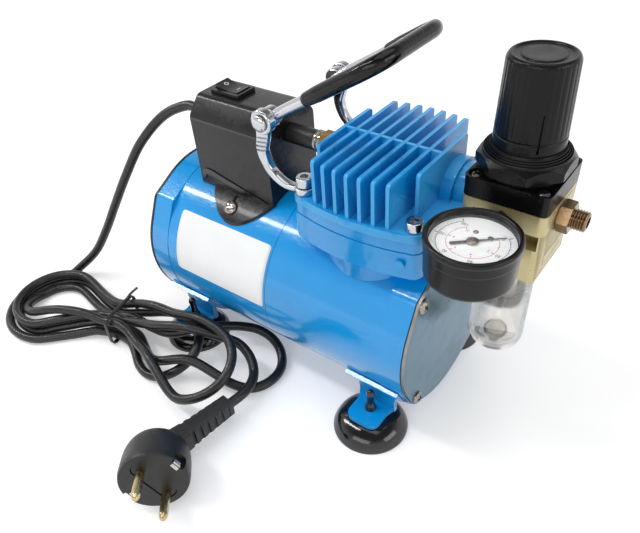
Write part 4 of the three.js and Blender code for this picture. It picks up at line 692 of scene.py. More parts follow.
# The label is bent over the barrel, and its rows close up at the rounded corners.
label_points, label_faces = [], []
label_rows, label_columns, label_corner = 48, 24, 2.2
label_arc = math.radians(43.3)
label_left, label_long = -70, 70.5
for i in range(label_rows + 1):
    fall = 0.5 - 0.5 * math.cos(math.pi * i / label_rows)
    depth = min(fall, 1 - fall) * label_arc * BARREL
    inset = label_corner - math.sqrt(max(0, label_corner ** 2 - max(0, label_corner - depth) ** 2))
    angle = math.radians(0.4) + (1 - fall) * label_arc
    for k in range(label_columns + 1):
        x = label_left + inset + (label_long - 2 * inset) * k / label_columns
        label_points.append((x, -(BARREL + 0.06) * math.cos(angle),
                             AXIS + (BARREL + 0.06) * math.sin(angle)))
for i in range(label_rows):
    for k in range(label_columns):
        corner = i * (label_columns + 1) + k
        label_faces.append((corner, corner + 1, corner + label_columns + 2, corner + label_columns + 1))

# Satin vinyl film: flat, even white.
label_film = finish("white_label_film", 0xF2F4F5, 0.34, shade=0.05, patch_mm=18, grain_mm=0.5,
                    relief=0.08)
label = piece("bare_label", built(label_points, label_faces), label_film)
thick = label.modifiers.new("film", "SOLIDIFY")
thick.thickness = 0.12 / 1000
thick.offset = 1


# End plate and rear cover
# The crankcase is closed by a polished sheet with a bare cut edge, the motor end by a moulded
# grille. Each has four plated cross-head screws.

# Polished blue sheet, a dull mirror with cloudy patches. Its blue is its own; the grey mixed into it
# is a painted reflection of the white room.
plate_sheet_painted_reflection = finish("blue_sheet_painted_grey_reflection", 0x5C8296, 0.2, metal=0.85, shade=0.16, patch_mm=30,
                     grain_mm=0.8, relief=0.1, rough_shift=0.08)

# Sheared edge without finish: rough and brownish grey.
bare_edge = finish("bare_cut_edge", 0xA79C92, 0.4, metal=1, shade=0.3, patch_mm=5, grain_mm=0.3,
                   relief=0.4)

# Moulded nylon with a fine grain: dull black.
satin_nylon = finish("satin_black_nylon", 0x171517, 0.46, shade=0.22, patch_mm=14, grain_mm=0.35,
                     relief=0.35)

# Nickelled steel: warm grey, bright on its dome and dark in its recess.
screw_steel = finish("nickelled_screw_steel", 0xA39C94, 0.2, metal=1, shade=0.2, patch_mm=4,
                     grain_mm=0.3, relief=0.15)


# A domed screw head with a cross recess, and a short shank.
def cross_screw(place, axis, radius, height, turn=0.5):
    head = spun([(0, -1.5), (radius * 0.5, -1.5), (radius * 0.5, 0), (radius, 0),
                 (radius, height * 0.45, 0.6), (radius * 0.62, height, 1.2), (0, height)], place, axis,
                 sides=40)
    axis = Vector(axis).normalized()
    side = axis.orthogonal().normalized()
    side = math.cos(turn) * side + math.sin(turn) * axis.cross(side)
    frame_here = own_frame(side, axis.cross(side), axis, Vector(place))
    arms = [slab(rectangle(a, b, 0.1), height - 1.1, height + 1, own=frame_here)
            for a, b in ((radius * 0.58, radius * 0.15), (radius * 0.15, radius * 0.58))]
    return cut(head, combined(arms[0], [arms[1]]))


plate = piece("end_plate", slab(ear_outline(-0.6), HALF + GAP, HALF + 1.9, "x"), plate_sheet_painted_reflection,
              bevel=0.15)
plate.data.materials.append(bare_edge)
for face in plate.data.polygons:
    face.material_index = 0 if abs(face.normal.x) > 0.5 else 1
square = [(-1, -1), (1, -1), (1, 1), (-1, 1)]
COVER_SCREW = 34.5
piece("end_plate_screws", together(*[
    cross_screw((HALF + 1.9, COVER_SCREW * a, AXIS + COVER_SCREW * b), (1, 0, 0), 3.9, 2,
                0.4 + a + 2 * b) for a, b in square]),
    screw_steel)

grille_holes = []
for row in range(-3, 4):
    reach = math.sqrt(37.5 ** 2 - (10 * row) ** 2)
    for side in (-1, 1):
        middle = side * (reach + 2) / 2
        grille_holes.append(rectangle((reach - 2) / 2, 2, 1.2, middle, AXIS + 10 * row))
piece("rear_cover", slab(ear_outline(0.5), -HALF - 1.9, -HALF - GAP, "x", holes=grille_holes),
      satin_nylon, bevel=0.3)
piece("rear_cover_screws", together(*[
    cross_screw((-HALF - 1.9, COVER_SCREW * a, AXIS + COVER_SCREW * b), (-1, 0, 0), 3.9, 2, a - b)
    for a, b in square]), screw_steel)


# Feet
# Pressed and welded brackets, enamelled with the shell, each on a glossy rubber suction cup whose
# nipple is pulled through the pad.

# Rubber from a polished mould: deep black with sharp highlights.
cup_rubber = finish("glossy_cup_rubber", 0x0D0D0E, 0.1, shade=0.3, patch_mm=12, grain_mm=1.0,
                    relief=0.08, rough_shift=0.05, coat=0.4)
ends = ("front_left", "front_right", "rear_right", "rear_left")
barrel_room = slab(circle(BARREL + GAP, 0, AXIS, sides=180), -100, 100, "x")
ear_rooms = [slab(ear_outline(0.6), sign * HALF - (14.3 if sign > 0 else 20),
                  sign * HALF + (20 if sign > 0 else 14.3), "x") for sign in (-1, 1)]
for (sx, sy), end in zip(square, ends):
    x, y = CUP_X * sx, CUP_Y * sy
    pad = slab(rounded([(x - 12, sy * 38), (x - 10, sy * 46), (x - 10, sy * 59.5, 6),
                        (x + 10, sy * 59.5, 6), (x + 10, sy * 46), (x + 12, sy * 38)]), 12, 15)
    riser = slab([(12, x - 12), (12, x + 12), (20, x + 11.5), (28, x + 13.5), (36, x + 17),
                  (40, x + 17), (40, x - 17), (36, x - 17), (28, x - 13.5), (20, x - 11.5)],
                 min(sy * 37.8, sy * 41), max(sy * 37.8, sy * 41), "y")
    angles = [math.radians(-27 - 27 * i / 12) for i in range(13)]
    patch_arc = [(sy * 54.4 * math.cos(a), AXIS + 54.4 * math.sin(a)) for a in angles]
    patch_arc += [(sy * 51 * math.cos(a), AXIS + 51 * math.sin(a)) for a in reversed(angles)]
    patch = slab(patch_arc, x - 17, x + 17, "x")
    hole = spun([(0, 8), (3.2, 8), (3.2, 18), (0, 18)], (x, y, 0), sides=40)
    rooms = [barrel_room.copy(), ear_rooms[0 if sx < 0 else 1].copy(), hole]
    bracket = cut(combined(pad, [riser, patch]), *rooms)
    piece("foot_bracket_" + end, bracket, blue_enamel, bevel=0.4)
    cup = spun([(0, 4.5), (19, 0.3, 2), (20.6, 0.05, 0.3), (21.9, 0.1, 0.4), (21.9, 1.5, 0.6),
                (21.2, 3.2, 1.4), (18.9, 7.2, 3.4), (13.4, 10.7, 3.5), (8.5, 11.7, 1.5), (2.9, 11.7),
                (2.9, 15.3), (3.5, 15.3, 0.3), (3.2, 17, 1), (2.1, 20.5, 1.5), (2.0, 25.5, 1),
                (2.5, 27.2, 0.6), (1.8, 29.6, 0.9), (0, 30.5)],
               (x, y, 0))
    piece("suction_cup_" + end, cup, cup_rubber)


# Cylinder, valve plate and head
# Aluminium castings stacked on four bolts: the cylinder with its square flange, the valve plate and
# the head, whose tall thin fins are tied by one cross web. A painted highlight lightens the
# fins' edges.

BOLT, FITTING_Z, PORT_Z = 31.25, 145.6, 137

# The same enamel, with a painted highlight in lighter blue along the fins' thin edges.
fin_enamel_painted_highlight = finish("azure_enamel_fins_painted_highlight", 0x1096DC, 0.3, shade=0.14, patch_mm=30, grain_mm=1.2,
                    relief=0.12, rough_shift=0.05, coat=0.3, edge=(0x4FB2EE, 0.55), specular=0.3)


# A square with bowed sides and a round lobe at each bolt.
def flange_outline(inset=0.0):
    lobe, bow = 5.5 - inset, 41 - inset
    edge = BOLT + lobe
    points = []
    sides = [(0, -1), (1, 0), (0, 1), (-1, 0)]
    for i, (u, v) in enumerate(sides):
        nu, nv = sides[(i + 1) % 4]
        start = Vector((u * edge - nu * BOLT, v * edge - nv * BOLT))
        end = Vector((u * edge + nu * BOLT, v * edge + nv * BOLT))
        pull = Vector((u, v)) * (2 * bow - edge)
        for k in range(20):
            t = k / 20
            points.append((1 - t) ** 2 * start + 2 * t * (1 - t) * pull + t * t * end)
        begin = (i - 1) * math.pi / 2
        for k in range(8):
            a = begin + k * math.pi / 16
            points.append(Vector(((u + nu) * BOLT + lobe * math.cos(a),
                                  (v + nv) * BOLT + lobe * math.sin(a))))
    return [(HEAD_X + p.x, p.y) for p in points]


bore = circle(19, HEAD_X, 0)
cylinder_flange = slab(flange_outline(), 110.5, 125, holes=[bore])
skirt = spun([(0, 60), (36.8, 60), (36.8, 111), (0, 111)], (HEAD_X, 0, 0), sides=128)
side_wall = slab(rectangle(19.75, 27, 3, 34.25, 0), 60, 111)
oval = spun([(0, -1), (2.4, -1), (2.4, 0.35, 0.2), (0, 0.35)], (82.5, -39, 119), (0.16, -1, 0),
            sides=40)
bore_room = spun([(0, 50), (19, 50), (19, 126), (0, 126)], (HEAD_X, 0, 0))
lower = cut(combined(skirt, [side_wall]), barrel_room.copy(), ear_rooms[1].copy(), bore_room)
piece("cylinder", together(combined(lower, [cylinder_flange]), oval), blue_enamel,
      bevel=0.5)
piece("valve_plate", slab(flange_outline(0.5), 125.3, 131,
                          holes=[circle(1.5, 45, -3), circle(1.5, 63, 3)]),
      blue_enamel, bevel=0.5)

fins = []
for i in range(-4, 5):
    offset = 6.87 * i
    half = 23.3 if abs(i) == 4 else 40 - offset ** 2 / 176
    outline = rounded([(-half, 134), (half, 134), (half, 158.9, 2.2), (-half, 158.9, 2.2)], closed=True)
    fins.append(slab(outline, HEAD_X + offset - 0.95, HEAD_X + offset + 0.95, "x"))
web = slab([(134, HEAD_X - 27.5), (158.7, HEAD_X - 27.5), (158.7, HEAD_X + 27.5), (134, HEAD_X + 27.5)],
           -0.95, 0.95, "y")
head_flange = slab(flange_outline(), 131.3, 135.6)
boss_arc = [(12 + 12.5 * math.cos(math.radians(a)), PORT_Z + 12.5 * math.sin(math.radians(a)))
            for a in range(-25, 206, 5)]
boss = slab(boss_arc, 76, 95.4, "x")
root_arc = [(12 + 15.5 * math.cos(math.radians(a)), PORT_Z + 14 * math.sin(math.radians(a)))
            for a in range(-22, 203, 5)]
root = slab(root_arc, 80, 88, "x")
inlet_boss = spun([(0, 0), (6.8, 0, 0.6), (6.8, 8), (8, 12, 3), (8, 24), (0, 24)], (21, 0, FITTING_Z),
                  (1, 0, 0))
inlet_room = spun([(0, -1), (5.2, -1), (5.2, 11), (0, 11)], (21, 0, FITTING_Z), (1, 0, 0), sides=48)
solid_head = combined(head_flange, [web, boss, root, *fins, cut(inlet_boss, inlet_room)])
piece("cylinder_head", solid_head, fin_enamel_painted_highlight, bevel=0.4)

# Bright chrome plate: a clear mirror that takes its tone from what stands round it.
chrome = finish("bright_chrome_plate", 0xC2C4C8, 0.07, metal=1, shade=0.1, patch_mm=14, grain_mm=0.8,
                relief=0.06, rough_shift=0.04)
for (sx, sy), end in zip(square, ends):
    place = (HEAD_X + sx * BOLT, sy * BOLT, 135.6 + (3.8 if sx < 0 else 0.3))
    head_shape = spun([(0, -20), (2.5, -20), (2.5, 0), (4.25, 0, 0.3), (4.25, 5, 0.7), (0, 5)], place,
                      sides=64)
    key = slab(circle(2.3, place[0], place[1], sides=6), place[2] + 2.2, place[2] + 6)
    piece("head_bolt_" + end, cut(head_shape, key), chrome, bevel=0.12)


# Switch box and cord gland
# A folded steel box in satin black, saddled on the barrel by two curved ears with keyholes and
# screws. A band is pressed out of its sides, and the lead enters through a rubber gland.

# Stoved enamel on steel sheet: black, with a soft gloss on its flats.
box_black = finish("satin_black_enamel", 0x191718, 0.26, shade=0.18, patch_mm=22, grain_mm=0.7,
                   relief=0.2, rough_shift=0.07, coat=0.2, specular=0.28)
BOX_LEFT, BOX_RIGHT, BOX_TOP = -66.5, -10.5, 160.5
SWITCH_X = -50.2


# The box's end in (y, z), with its sloped shoulders.
def box_outline(inset=0.0, low=80.7):
    half, top = 21 - inset, BOX_TOP - inset
    flat, shoulder = 12 - 0.45 * inset, BOX_TOP - 9.7 - 0.45 * inset
    return rounded([(-half, low), (half, low), (half, shoulder, 2.2), (flat, top, 2.2),
                    (-flat, top, 2.2), (-half, shoulder, 2.2)], closed=True)


# A frame on the ear's outer face at its screw, with its last axis pointing out of the face.
def saddle_frame(side, up_slope=0.0):
    screw_y = 28.9
    lift = math.atan2(math.sqrt(BARREL ** 2 - screw_y ** 2), screw_y) + up_slope / BARREL
    out = Vector((0, side * math.cos(lift), math.sin(lift)))
    along = Vector((1, 0, 0))
    return own_frame(along, out.cross(along), out, Vector((-35.7, 0, AXIS)) + out * (BARREL + 1.9))


outer_box = slab(box_outline(), BOX_LEFT, BOX_RIGHT, "x")
inner_box = slab(box_outline(1.6, 40), BOX_LEFT + 1.6, BOX_RIGHT - 1.6, "x")
saddle_sheet = slab(circle(BARREL + 1.9, 0, AXIS, 180), BOX_LEFT, -5, "x",
                    holes=[circle(BARREL + GAP, 0, AXIS, 180)])
oval_plan = [(-33 + 27.6 * u, 36.2 * v) for u, v in circle(1, sides=120)]
ears = []
for side in (-1, 1):
    beyond = slab(rectangle(60, 10.4, 0.01, -33, side * 29.8), 70, 140)
    ear = combined(combined(saddle_sheet.copy(), [slab(oval_plan, 70, 140)], "INTERSECT"), [beyond],
                   "INTERSECT")
    keyhole = slab(rectangle(1.7, 3.2, 1.6), -1.1, 6, own=saddle_frame(side, 4.6))
    ears.append(cut(ear, keyhole))
barrel_under = slab(circle(BARREL + GAP, 0, AXIS, 180), -90, 20, "x")
bezel_hole = slab(rectangle(9.8, 6.6, 0.5, SWITCH_X, 0), 155, 165)
box_shell = cut(outer_box, inner_box, barrel_under, bezel_hole)
piece("switch_box", together(box_shell, *ears), box_black, bevel=0.35, sharp=28)
arch = rounded([(112, -65.2), (118.5, -63.8, 3), (119.6, -57.5, 5), (117.5, -50, 6), (109.4, -12, 1.5),
                (106.4, -12, 1), (114.3, -51, 6), (116, -57.5, 3), (115.4, -61.6, 2), (112, -62.3)],
                closed=True)
lips = []
for side in (-1, 1):
    lips.append(slab(arch, min(side * 20.9, side * 21.7), max(side * 20.9, side * 21.7), "y"))
    lips.append(slab(rectangle(0.5, 27.6, 0.4, 149.6, -38.5), min(side * 20.8, side * 21.35),
                     max(side * 20.8, side * 21.35), "y"))
    lips.append(spun([(0, -0.3), (0.9, -0.3), (0.9, 0.25, 0.2), (0, 0.25)], (-31.4, side * 21, 109.3),
                     (0, side, 0), sides=24))

# The box's enamel, smoother where the sheet is pressed out.
band_enamel = finish("pressed_band_enamel", 0x161517, 0.22, shade=0.2, patch_mm=14, grain_mm=0.5,
                     relief=0.15, coat=0.3)
piece("pressed_band", together(*lips), band_enamel, bevel=0.3)
piece("saddle_screws", together(*[
    cross_screw(saddle_frame(side).translation, saddle_frame(side).col[2].to_3d(), 4.2, 2.2, 0.9)
    for side in (-1, 1)]), screw_steel)

# Matt moulded rubber, with hardly a highlight.
gland_rubber = finish("gland_rubber", 0x161517, 0.42, patch_mm=6, grain_mm=0.4, relief=0.3)
gland_profile = [(0, 0), (4.9, 0), (4.9, 5), (6.6, 5, 0.4), (6.6, 8, 0.8), (5.2, 8.4, 0.5)]
for i in range(5):
    start, radius = 9.6 + 2.4 * i, 5.15 - 0.2 * i
    gland_profile += [(radius, start, 0.2), (radius - 0.7, start + 0.3, 0.2),
                      (radius - 0.8, start + 1.1, 0.2), (radius - 0.05, start + 1.4, 0.2)]
gland_profile += [(4.1, 22, 0.5), (0, 22)]
gland = piece("cord_gland", spun(gland_profile, (-61.8, 0, 143), (-1, 0, 0), sides=64), gland_rubber)


# Rocker switch
# Moulded nylon frame and body that snap into the top of the box, with a dished rocker on two
# pivots. A printed ring and a printed bar mark off and on.

# Fine-grained nylon: black and satin.
switch_nylon = finish("switch_nylon", 0x121113, 0.3, shade=0.25, patch_mm=6, grain_mm=0.3, relief=0.25)
frame_ring = slab(rectangle(10.5, 7.5, 1.2, SWITCH_X, 0), 160.8, 162.6,
                  holes=[rectangle(8.9, 5.45, 0.6, SWITCH_X, 0)])
switch_well = slab(rectangle(9.5, 6.3, 0.4, SWITCH_X, 0), 145.8, 161.3,
                   holes=[rectangle(8.9, 5.45, 0.6, SWITCH_X, 0)])
switch_floor = slab(rectangle(9.5, 6.3, 0.4, SWITCH_X, 0), 145.8, 153.8)
tabs = [slab(rectangle(0.4, 2.4, 0.2, SWITCH_X + x, 0), 138.8, 147) for x in (-6, 0, 6)]
piece("switch_body", together(frame_ring, switch_well, switch_floor, *tabs), switch_nylon,
      bevel=0.35)


ROCKER_TILT = 7


# A point of the rocker's profile in (z, x), with its rest tilt.
def rocker_place(x, z):
    tilt = math.radians(ROCKER_TILT)
    return (z * math.cos(tilt) - x * math.sin(tilt) + 162,
            x * math.cos(tilt) + z * math.sin(tilt) + SWITCH_X)


dish = [(-8.2 + 16.4 * i / 20, 2.2 - 8.8 * (i / 20) * (1 - i / 20) / 2) for i in range(21)]
dish += [(7.0, -1.2), (2.5, -2.8), (-2.5, -2.8), (-7.0, -1.2)]
piece("switch_rocker", slab([rocker_place(*p) for p in dish], -5.1, 5.1, "y"), switch_nylon, "rocker",
      bevel=0.3)

# Pad-printed ink: matt off-white.
mark_white = finish("printed_white_mark", 0xE6E6E2, 0.5, shade=0.1, patch_mm=2, grain_mm=0.2,
                    relief=0.1)
marks = []
for x, slope, outline, holes in ((-4.6, 8.4, circle(1.35, sides=48), [circle(0.95, sides=48)]),
                                 (4.6, -8.4, rectangle(0.22, 1.4, 0.15), [])):
    t = (x + 8.2) / 16.4
    z, across = rocker_place(x, 2.2 - 4.4 * t * (1 - t))
    lean = math.radians(slope + ROCKER_TILT)
    out = Vector((math.sin(lean), 0, math.cos(lean)))
    along = Vector((math.cos(lean), 0, -math.sin(lean)))
    marks.append(slab(outline, -0.2, 0.06, holes=holes,
                      own=own_frame(along, Vector((0, 1, 0)), out, (across, 0, z))))
piece("switch_marks", together(*marks), mark_white, "rocker")


# Brass fitting
# A turned brass connector carries the head's pressure to the switch in the box. Its pipe is
# sleeved in black, and a plated knurled ring locks it against the hexagon.


# A hexagon's outline, from half its width across the flats.
def six_sided(half, u, v):
    return circle(half / math.cos(math.pi / 6), u, v, sides=6)


# Freshly turned brass: brownish gold, with a fine glitter from the tool marks.
brass = finish("machined_brass", 0xA67C35, 0.2, metal=1, shade=0.22, patch_mm=7, grain_mm=0.25,
               relief=0.3, rough_shift=0.08)
pipe = spun([(2, 0), (4.86, 0), (4.86, 43.5, 0.5), (2, 43.5)], (-16.5, 0, FITTING_Z), (1, 0, 0),
            sides=64, closed=True)
collar = spun([(4, 0), (6, 0, 0.4), (6, 1.6, 0.6), (5.3, 2.1, 0.3), (6, 2.6, 0.6), (6, 4.2, 0.4),
               (4, 4.2)],
              (8.3, 0, FITTING_Z), (1, 0, 0), sides=64, closed=True)
hexagon = slab(six_sided(6, 0, FITTING_Z), 12.7, 20.7, "x")
hex_trim = spun([(0, -1), (5.7, -1), (7.2, 0.6), (7.2, 7.4), (5.7, 9), (0, 9)], (12.7, 0, FITTING_Z),
                (1, 0, 0), sides=64)
piece("brass_fitting", together(pipe, combined(hexagon, [hex_trim], "INTERSECT")), brass,
      bevel=0.15)
piece("lock_ring", collar, screw_steel, bevel=0.1)
pipe_sleeve = spun([(4.9, 0), (5.5, 0, 0.3), (5.5, 18.4, 0.3), (4.9, 18.4)], (-10.3, 0, FITTING_Z),
                   (1, 0, 0), sides=64, closed=True)
piece("fitting_sleeve", pipe_sleeve, gland_rubber)


# Handle
# Two chromed brackets under the head bolts carry a bent chromed bar on rivets, with a glossy
# vinyl sleeve drawn over its far end. The bar rests 31 degrees above level.

REST = math.radians(31)
PIVOT = Vector((1.6, 0, 168.9))
ARM_Y = 27.2
ahead, upward, across_y = (Vector((math.cos(REST), 0, math.sin(REST))),
                           Vector((-math.sin(REST), 0, math.cos(REST))), Vector((0, 1, 0)))
for side, end in ((-1, "front"), (1, "rear")):
    y = side * 33
    path = spaced([(20.5, side * 31.5, 137.5), (13.75, y, 137.7), (6.75, y, 140.3), (1.75, y, 145.5),
                   (-0.85, y, 153.5), (0.6, y, 160.5), (1.6, y, 167)], 0.8)
    sizes = []
    for i in range(len(path)):
        t = i / (len(path) - 1)
        sizes.append((1.4 + 2.8 * t ** 1.3, 2.9 - 0.6 * t))
    strap = lofted(path, sizes, (0, 1, 0), power=3.6, sides=32)
    foot = spun([(0, 0), (5.4, 0, 0.3), (5.4, 3.2, 0.6), (0, 3.2)], (HEAD_X - BOLT, side * BOLT, 135.9),
                sides=64)
    ear = spun([(0, 0), (5.6, 0), (6.2, 0.5, 0.4), (6.2, 4.5, 0.4), (5.6, 5), (0, 5)],
               (1.6, y - 2.5, 168.9), (0, 1, 0), sides=72)
    grooves = [slab(rectangle(4.2 - 0.3 * i, 0.55, 0.3), 1.3, 4,
                    own=own_frame(Vector((1, 0, 0.12)).normalized(),
                                  Vector((-0.12, 0, 1)).normalized() * -side, Vector((0, side, 0)),
                                  (0.5 - 0.25 * i, y, 161 - 2.3 * i)))
               for i in range(4)]
    hole = spun([(0, -5), (2.8, -5), (2.8, 8), (0, 8)], (HEAD_X - BOLT, side * BOLT, 135.9), sides=40)
    bracket = cut(combined(combined(strap, [foot]), [ear]), hole, *grooves)
    piece("handle_bracket_" + end, bracket, chrome, bevel=0.2)


# A point of the handle: ahead from the pivot, across, and above the bar.
def bail(u, v, w=0.0):
    return PIVOT + ahead * u + across_y * v + upward * w


# The bar's middle line, from a place on the front arm to one on the rear arm.
def bail_route(start, finish, step=1.0):
    reach, bend = 72, 14
    corners = [(start, -ARM_Y), (reach, -ARM_Y, bend), (reach, ARM_Y, bend), (finish, ARM_Y)]
    plan = []
    flat = rounded(corners, steps=16)
    for a, b in zip(flat, flat[1:]):
        count = max(1, round((b - a).length / step))
        plan += [a.lerp(b, i / count) for i in range(count)]
    plan.append(flat[-1])
    return [bail(p.x, p.y) for p in plan]


bar_path = bail_route(0, 0)
bar_sizes = [(2.7 + 1.3 * max(0, 1 - abs(min(i, len(bar_path) - 1 - i) - 2) / 9), 2.7)
             for i in range(len(bar_path))]
bar = lofted(bar_path, bar_sizes, upward, power=2.2, sides=32)
eyes = [spun([(0, 0), (4.6, 0), (5.2, 0.6, 0.4), (5.2, 5.4, 0.4), (4.6, 6), (0, 6)],
             bail(0, side * ARM_Y - 3), (0, 1, 0), sides=64) for side in (-1, 1)]
rivets = [spun([(0, -8), (2, -8), (2, 0), (4.2, 0, 0.2), (4.2, 0.9, 0.5), (2.8, 2.1, 1.2), (0, 2.4)],
               bail(0, side * 35.8), (0, side, 0), sides=56) for side in (-1, 1)]
piece("handle_bail", together(bar, *eyes, *rivets), chrome, "handle")

# Dipped vinyl: wet-looking black with small ripples.
sleeve_vinyl = finish("glossy_vinyl_sleeve", 0x0B0A0B, 0.14, shade=0.3, patch_mm=16, grain_mm=2.2,
                      relief=0.12, rough_shift=0.05, coat=0.1, specular=0.25)
grip_path = bail_route(26, 38)
grip_sizes = []
for i in range(len(grip_path)):
    from_end = min(i, len(grip_path) - 1 - i)
    radius = 3.8 - 0.5 * max(0, 1 - from_end / 9) - (0.3 if from_end == 0 else 0)
    grip_sizes.append((radius, radius))
piece("grip_sleeve", lofted(grip_path, grip_sizes, upward, sides=40), sleeve_vinyl, "handle")


# Regulator
# Champagne anodised zinc body, black nylon bonnet with four screws, an eight-sided panel nut with a
# stepped crown, and a fluted push-to-lock knob on a steel spindle.

REG_X, REG_Y = 115.7, 12
REG_AXIS = (REG_X, REG_Y, 0)

# Die-cast zinc in champagne anodising: pale gold, half metal, with lighter edges.
anodised = finish("champagne_anodised_zinc", 0xAB9C6C, 0.34, metal=0.55, shade=0.16, patch_mm=16,
                  grain_mm=0.3, relief=0.3, rough_shift=0.08, edge=(0xD8CDA0, 0.6))

# Nylon from a glazed mould: black with soft bright edges.
knob_nylon = finish("black_glazed_nylon", 0x0E0D0E, 0.24, shade=0.25, patch_mm=12, grain_mm=0.35,
                    relief=0.2, rough_shift=0.06, specular=0.2)


def reg_square(half, radius=3.5):
    return rectangle(half, half, radius, REG_X, REG_Y)


upper_body = slab(reg_square(20), 135.4, 145.6)
lower_body = slab(reg_square(19.6), 109, 135.8)
right_block = slab(rectangle(3.5, 11, 0.8, 132.2, REG_Y), 115, 144.6)
front_pocket = slab(rectangle(4.5, 7, 0.6, 129.2, -8), 127.2, 135.4)
side_seam = [slab(rectangle(0.6, 12, 0.1, 135.9, REG_Y), z, z + 0.5) for z in (120.5, 143.2)]
sump = spun([(0, 100), (11.6, 100), (11.6, 130), (0, 130)], REG_AXIS)
body_shape = cut(combined(lower_body, [upper_body, right_block]), front_pocket, sump, *side_seam)
piece("regulator_body", body_shape, anodised, bevel=0.55)

screw_places = [(REG_X + 15.4 * a, REG_Y + 15.4 * b, 153.7) for a, b in square]
recesses = [spun([(0, -0.1), (3.9, -0.1), (3.9, 4), (0, 4)], place, sides=48) for place in screw_places]
bonnet_block = cut(slab(reg_square(20), 145.9, 155.7), *recesses)
bonnet_dome = spun([(10.2, 147), (18.6, 147), (18.6, 156.9, 0.6), (16.2, 158.6, 0.5), (15.4, 159.4),
                    (15.4, 169.1, 0.3), (12.2, 169.1), (12.2, 175, 0.4), (10.2, 175)], REG_AXIS,
                    closed=True)
piece("regulator_bonnet", together(bonnet_block, bonnet_dome), knob_nylon,
      bevel=0.5)

# Blackened screw steel: dark, with bright rims.
dark_steel = finish("blackened_screw_steel", 0x5A5A5C, 0.24, metal=0.95, shade=0.3, patch_mm=3,
                    grain_mm=0.3, relief=0.2)
piece("bonnet_screws", together(*[
    cross_screw(place, (0, 0, 1), 3, 2, 0.3 + i) for i, place in enumerate(screw_places)]), dark_steel)

corner_r = 20.3 / math.cos(math.pi / 8)
octagon = slab([(REG_X + corner_r * math.cos(math.pi * (i + 0.5) / 4),
                 REG_Y + corner_r * math.sin(math.pi * (i + 0.5) / 4))
                for i in range(8)], 158, 164.5)
nut_trim = spun([(0, 157), (20.9, 157), (22.2, 158.6), (22.2, 161.6), (19.6, 164.5), (0, 164.5)],
                REG_AXIS, sides=144)
crown_profile = [(15.7, 160), (19.5, 160), (19.5, 165.1, 0.4)]
for i in range(4):
    crown_profile += [(19.1 - 0.8 * i, 165.8 + 0.75 * i, 0.2), (18.5 - 0.8 * i, 165.1 + 0.75 * i, 0.15)]
crown_profile += [(15.7, 168.2)]
crown = spun(crown_profile, REG_AXIS, sides=128, closed=True)
nut_bore = spun([(0, 150), (18.9, 150), (18.9, 159.6), (15.7, 161.6), (15.7, 170), (0, 170)], REG_AXIS)
nut_shape = cut(combined(octagon, [nut_trim], "INTERSECT"), nut_bore)
piece("panel_nut", together(nut_shape, crown), knob_nylon, bevel=0.3)

flutes, knob_sides = 32, 256
knob_profile = [(15.8, 0, 0.3), (15.8, 4.3, 0.3), (15.4, 4.7, 0.2), (15.4, 5.1, 0.2), (15.7, 5.5, 0.5),
                (14.75, 36.4, 1), (13.6, 38, 0.8), (12.2, 38, 0.4), (11.7, 37.3, 0.4), (9.3, 37.1, 0.3),
                (8.9, 37.6, 0.3)]
knob_rows = rounded([(13.9, 0), *knob_profile, (0.001, 37.4)], steps=4)
fine_rows = []
for a, b in zip(knob_rows, knob_rows[1:]):
    count = max(1, math.ceil((b - a).length / 2.2))
    fine_rows += [a.lerp(b, i / count) for i in range(count)]
fine_rows.append(knob_rows[-1])
fine_rows += [Vector(p) for p in ((4.2, 24.9), (4.2, 32.9), (12.6, 32.9))]
inner_start = len(fine_rows) - 3
knob_points, knob_faces = [], []
for row, p in enumerate(fine_rows):
    depth = 0.0
    if row < inner_start and p.x > 13.5 and 5.6 < p.y < 37.4:
        depth = 0.16 * min(1, (p.y - 5.6) / 1.5, (37.4 - p.y) / 1.5)
    for k in range(knob_sides):
        a = 2 * math.pi * k / knob_sides
        wave = max(0.0, math.cos(flutes * a)) ** 0.8
        r = p.x - depth * wave
        knob_points.append((REG_X + r * math.cos(a), REG_Y + r * math.sin(a), 168.9 + p.y))
for row in range(len(fine_rows)):
    following = (row + 1) % len(fine_rows)
    if row == inner_start - 1:
        continue
    for k in range(knob_sides):
        j = (k + 1) % knob_sides
        knob_faces.append((row * knob_sides + k, row * knob_sides + j, following * knob_sides + j,
                           following * knob_sides + k))
knob_faces.append(tuple(range((inner_start - 1) * knob_sides, inner_start * knob_sides)))
knob_faces.append(tuple(reversed(range(inner_start * knob_sides, (inner_start + 1) * knob_sides))))
knob_shape = built(knob_points, knob_faces)
slot_turn = math.radians(-57)
slot_out = Vector((math.cos(slot_turn), math.sin(slot_turn), 0))
slot_frame = own_frame(UP.cross(slot_out), slot_out, UP,
                       Vector((REG_X, REG_Y, 178.6)) + slot_out * 15.4)
slot_cut = slab(rectangle(0.5, 1.2, 0.2), -8.5, 8.5, own=slot_frame)
piece("regulator_knob", cut(knob_shape, slot_cut), knob_nylon, "knob", sharp=38)


# Outlet nipple
# Turned from hexagon bar and plated in a bronze colour, with a chamfered hexagon and five shiny
# threads round a dark bore. It screws into the right side of the regulator.

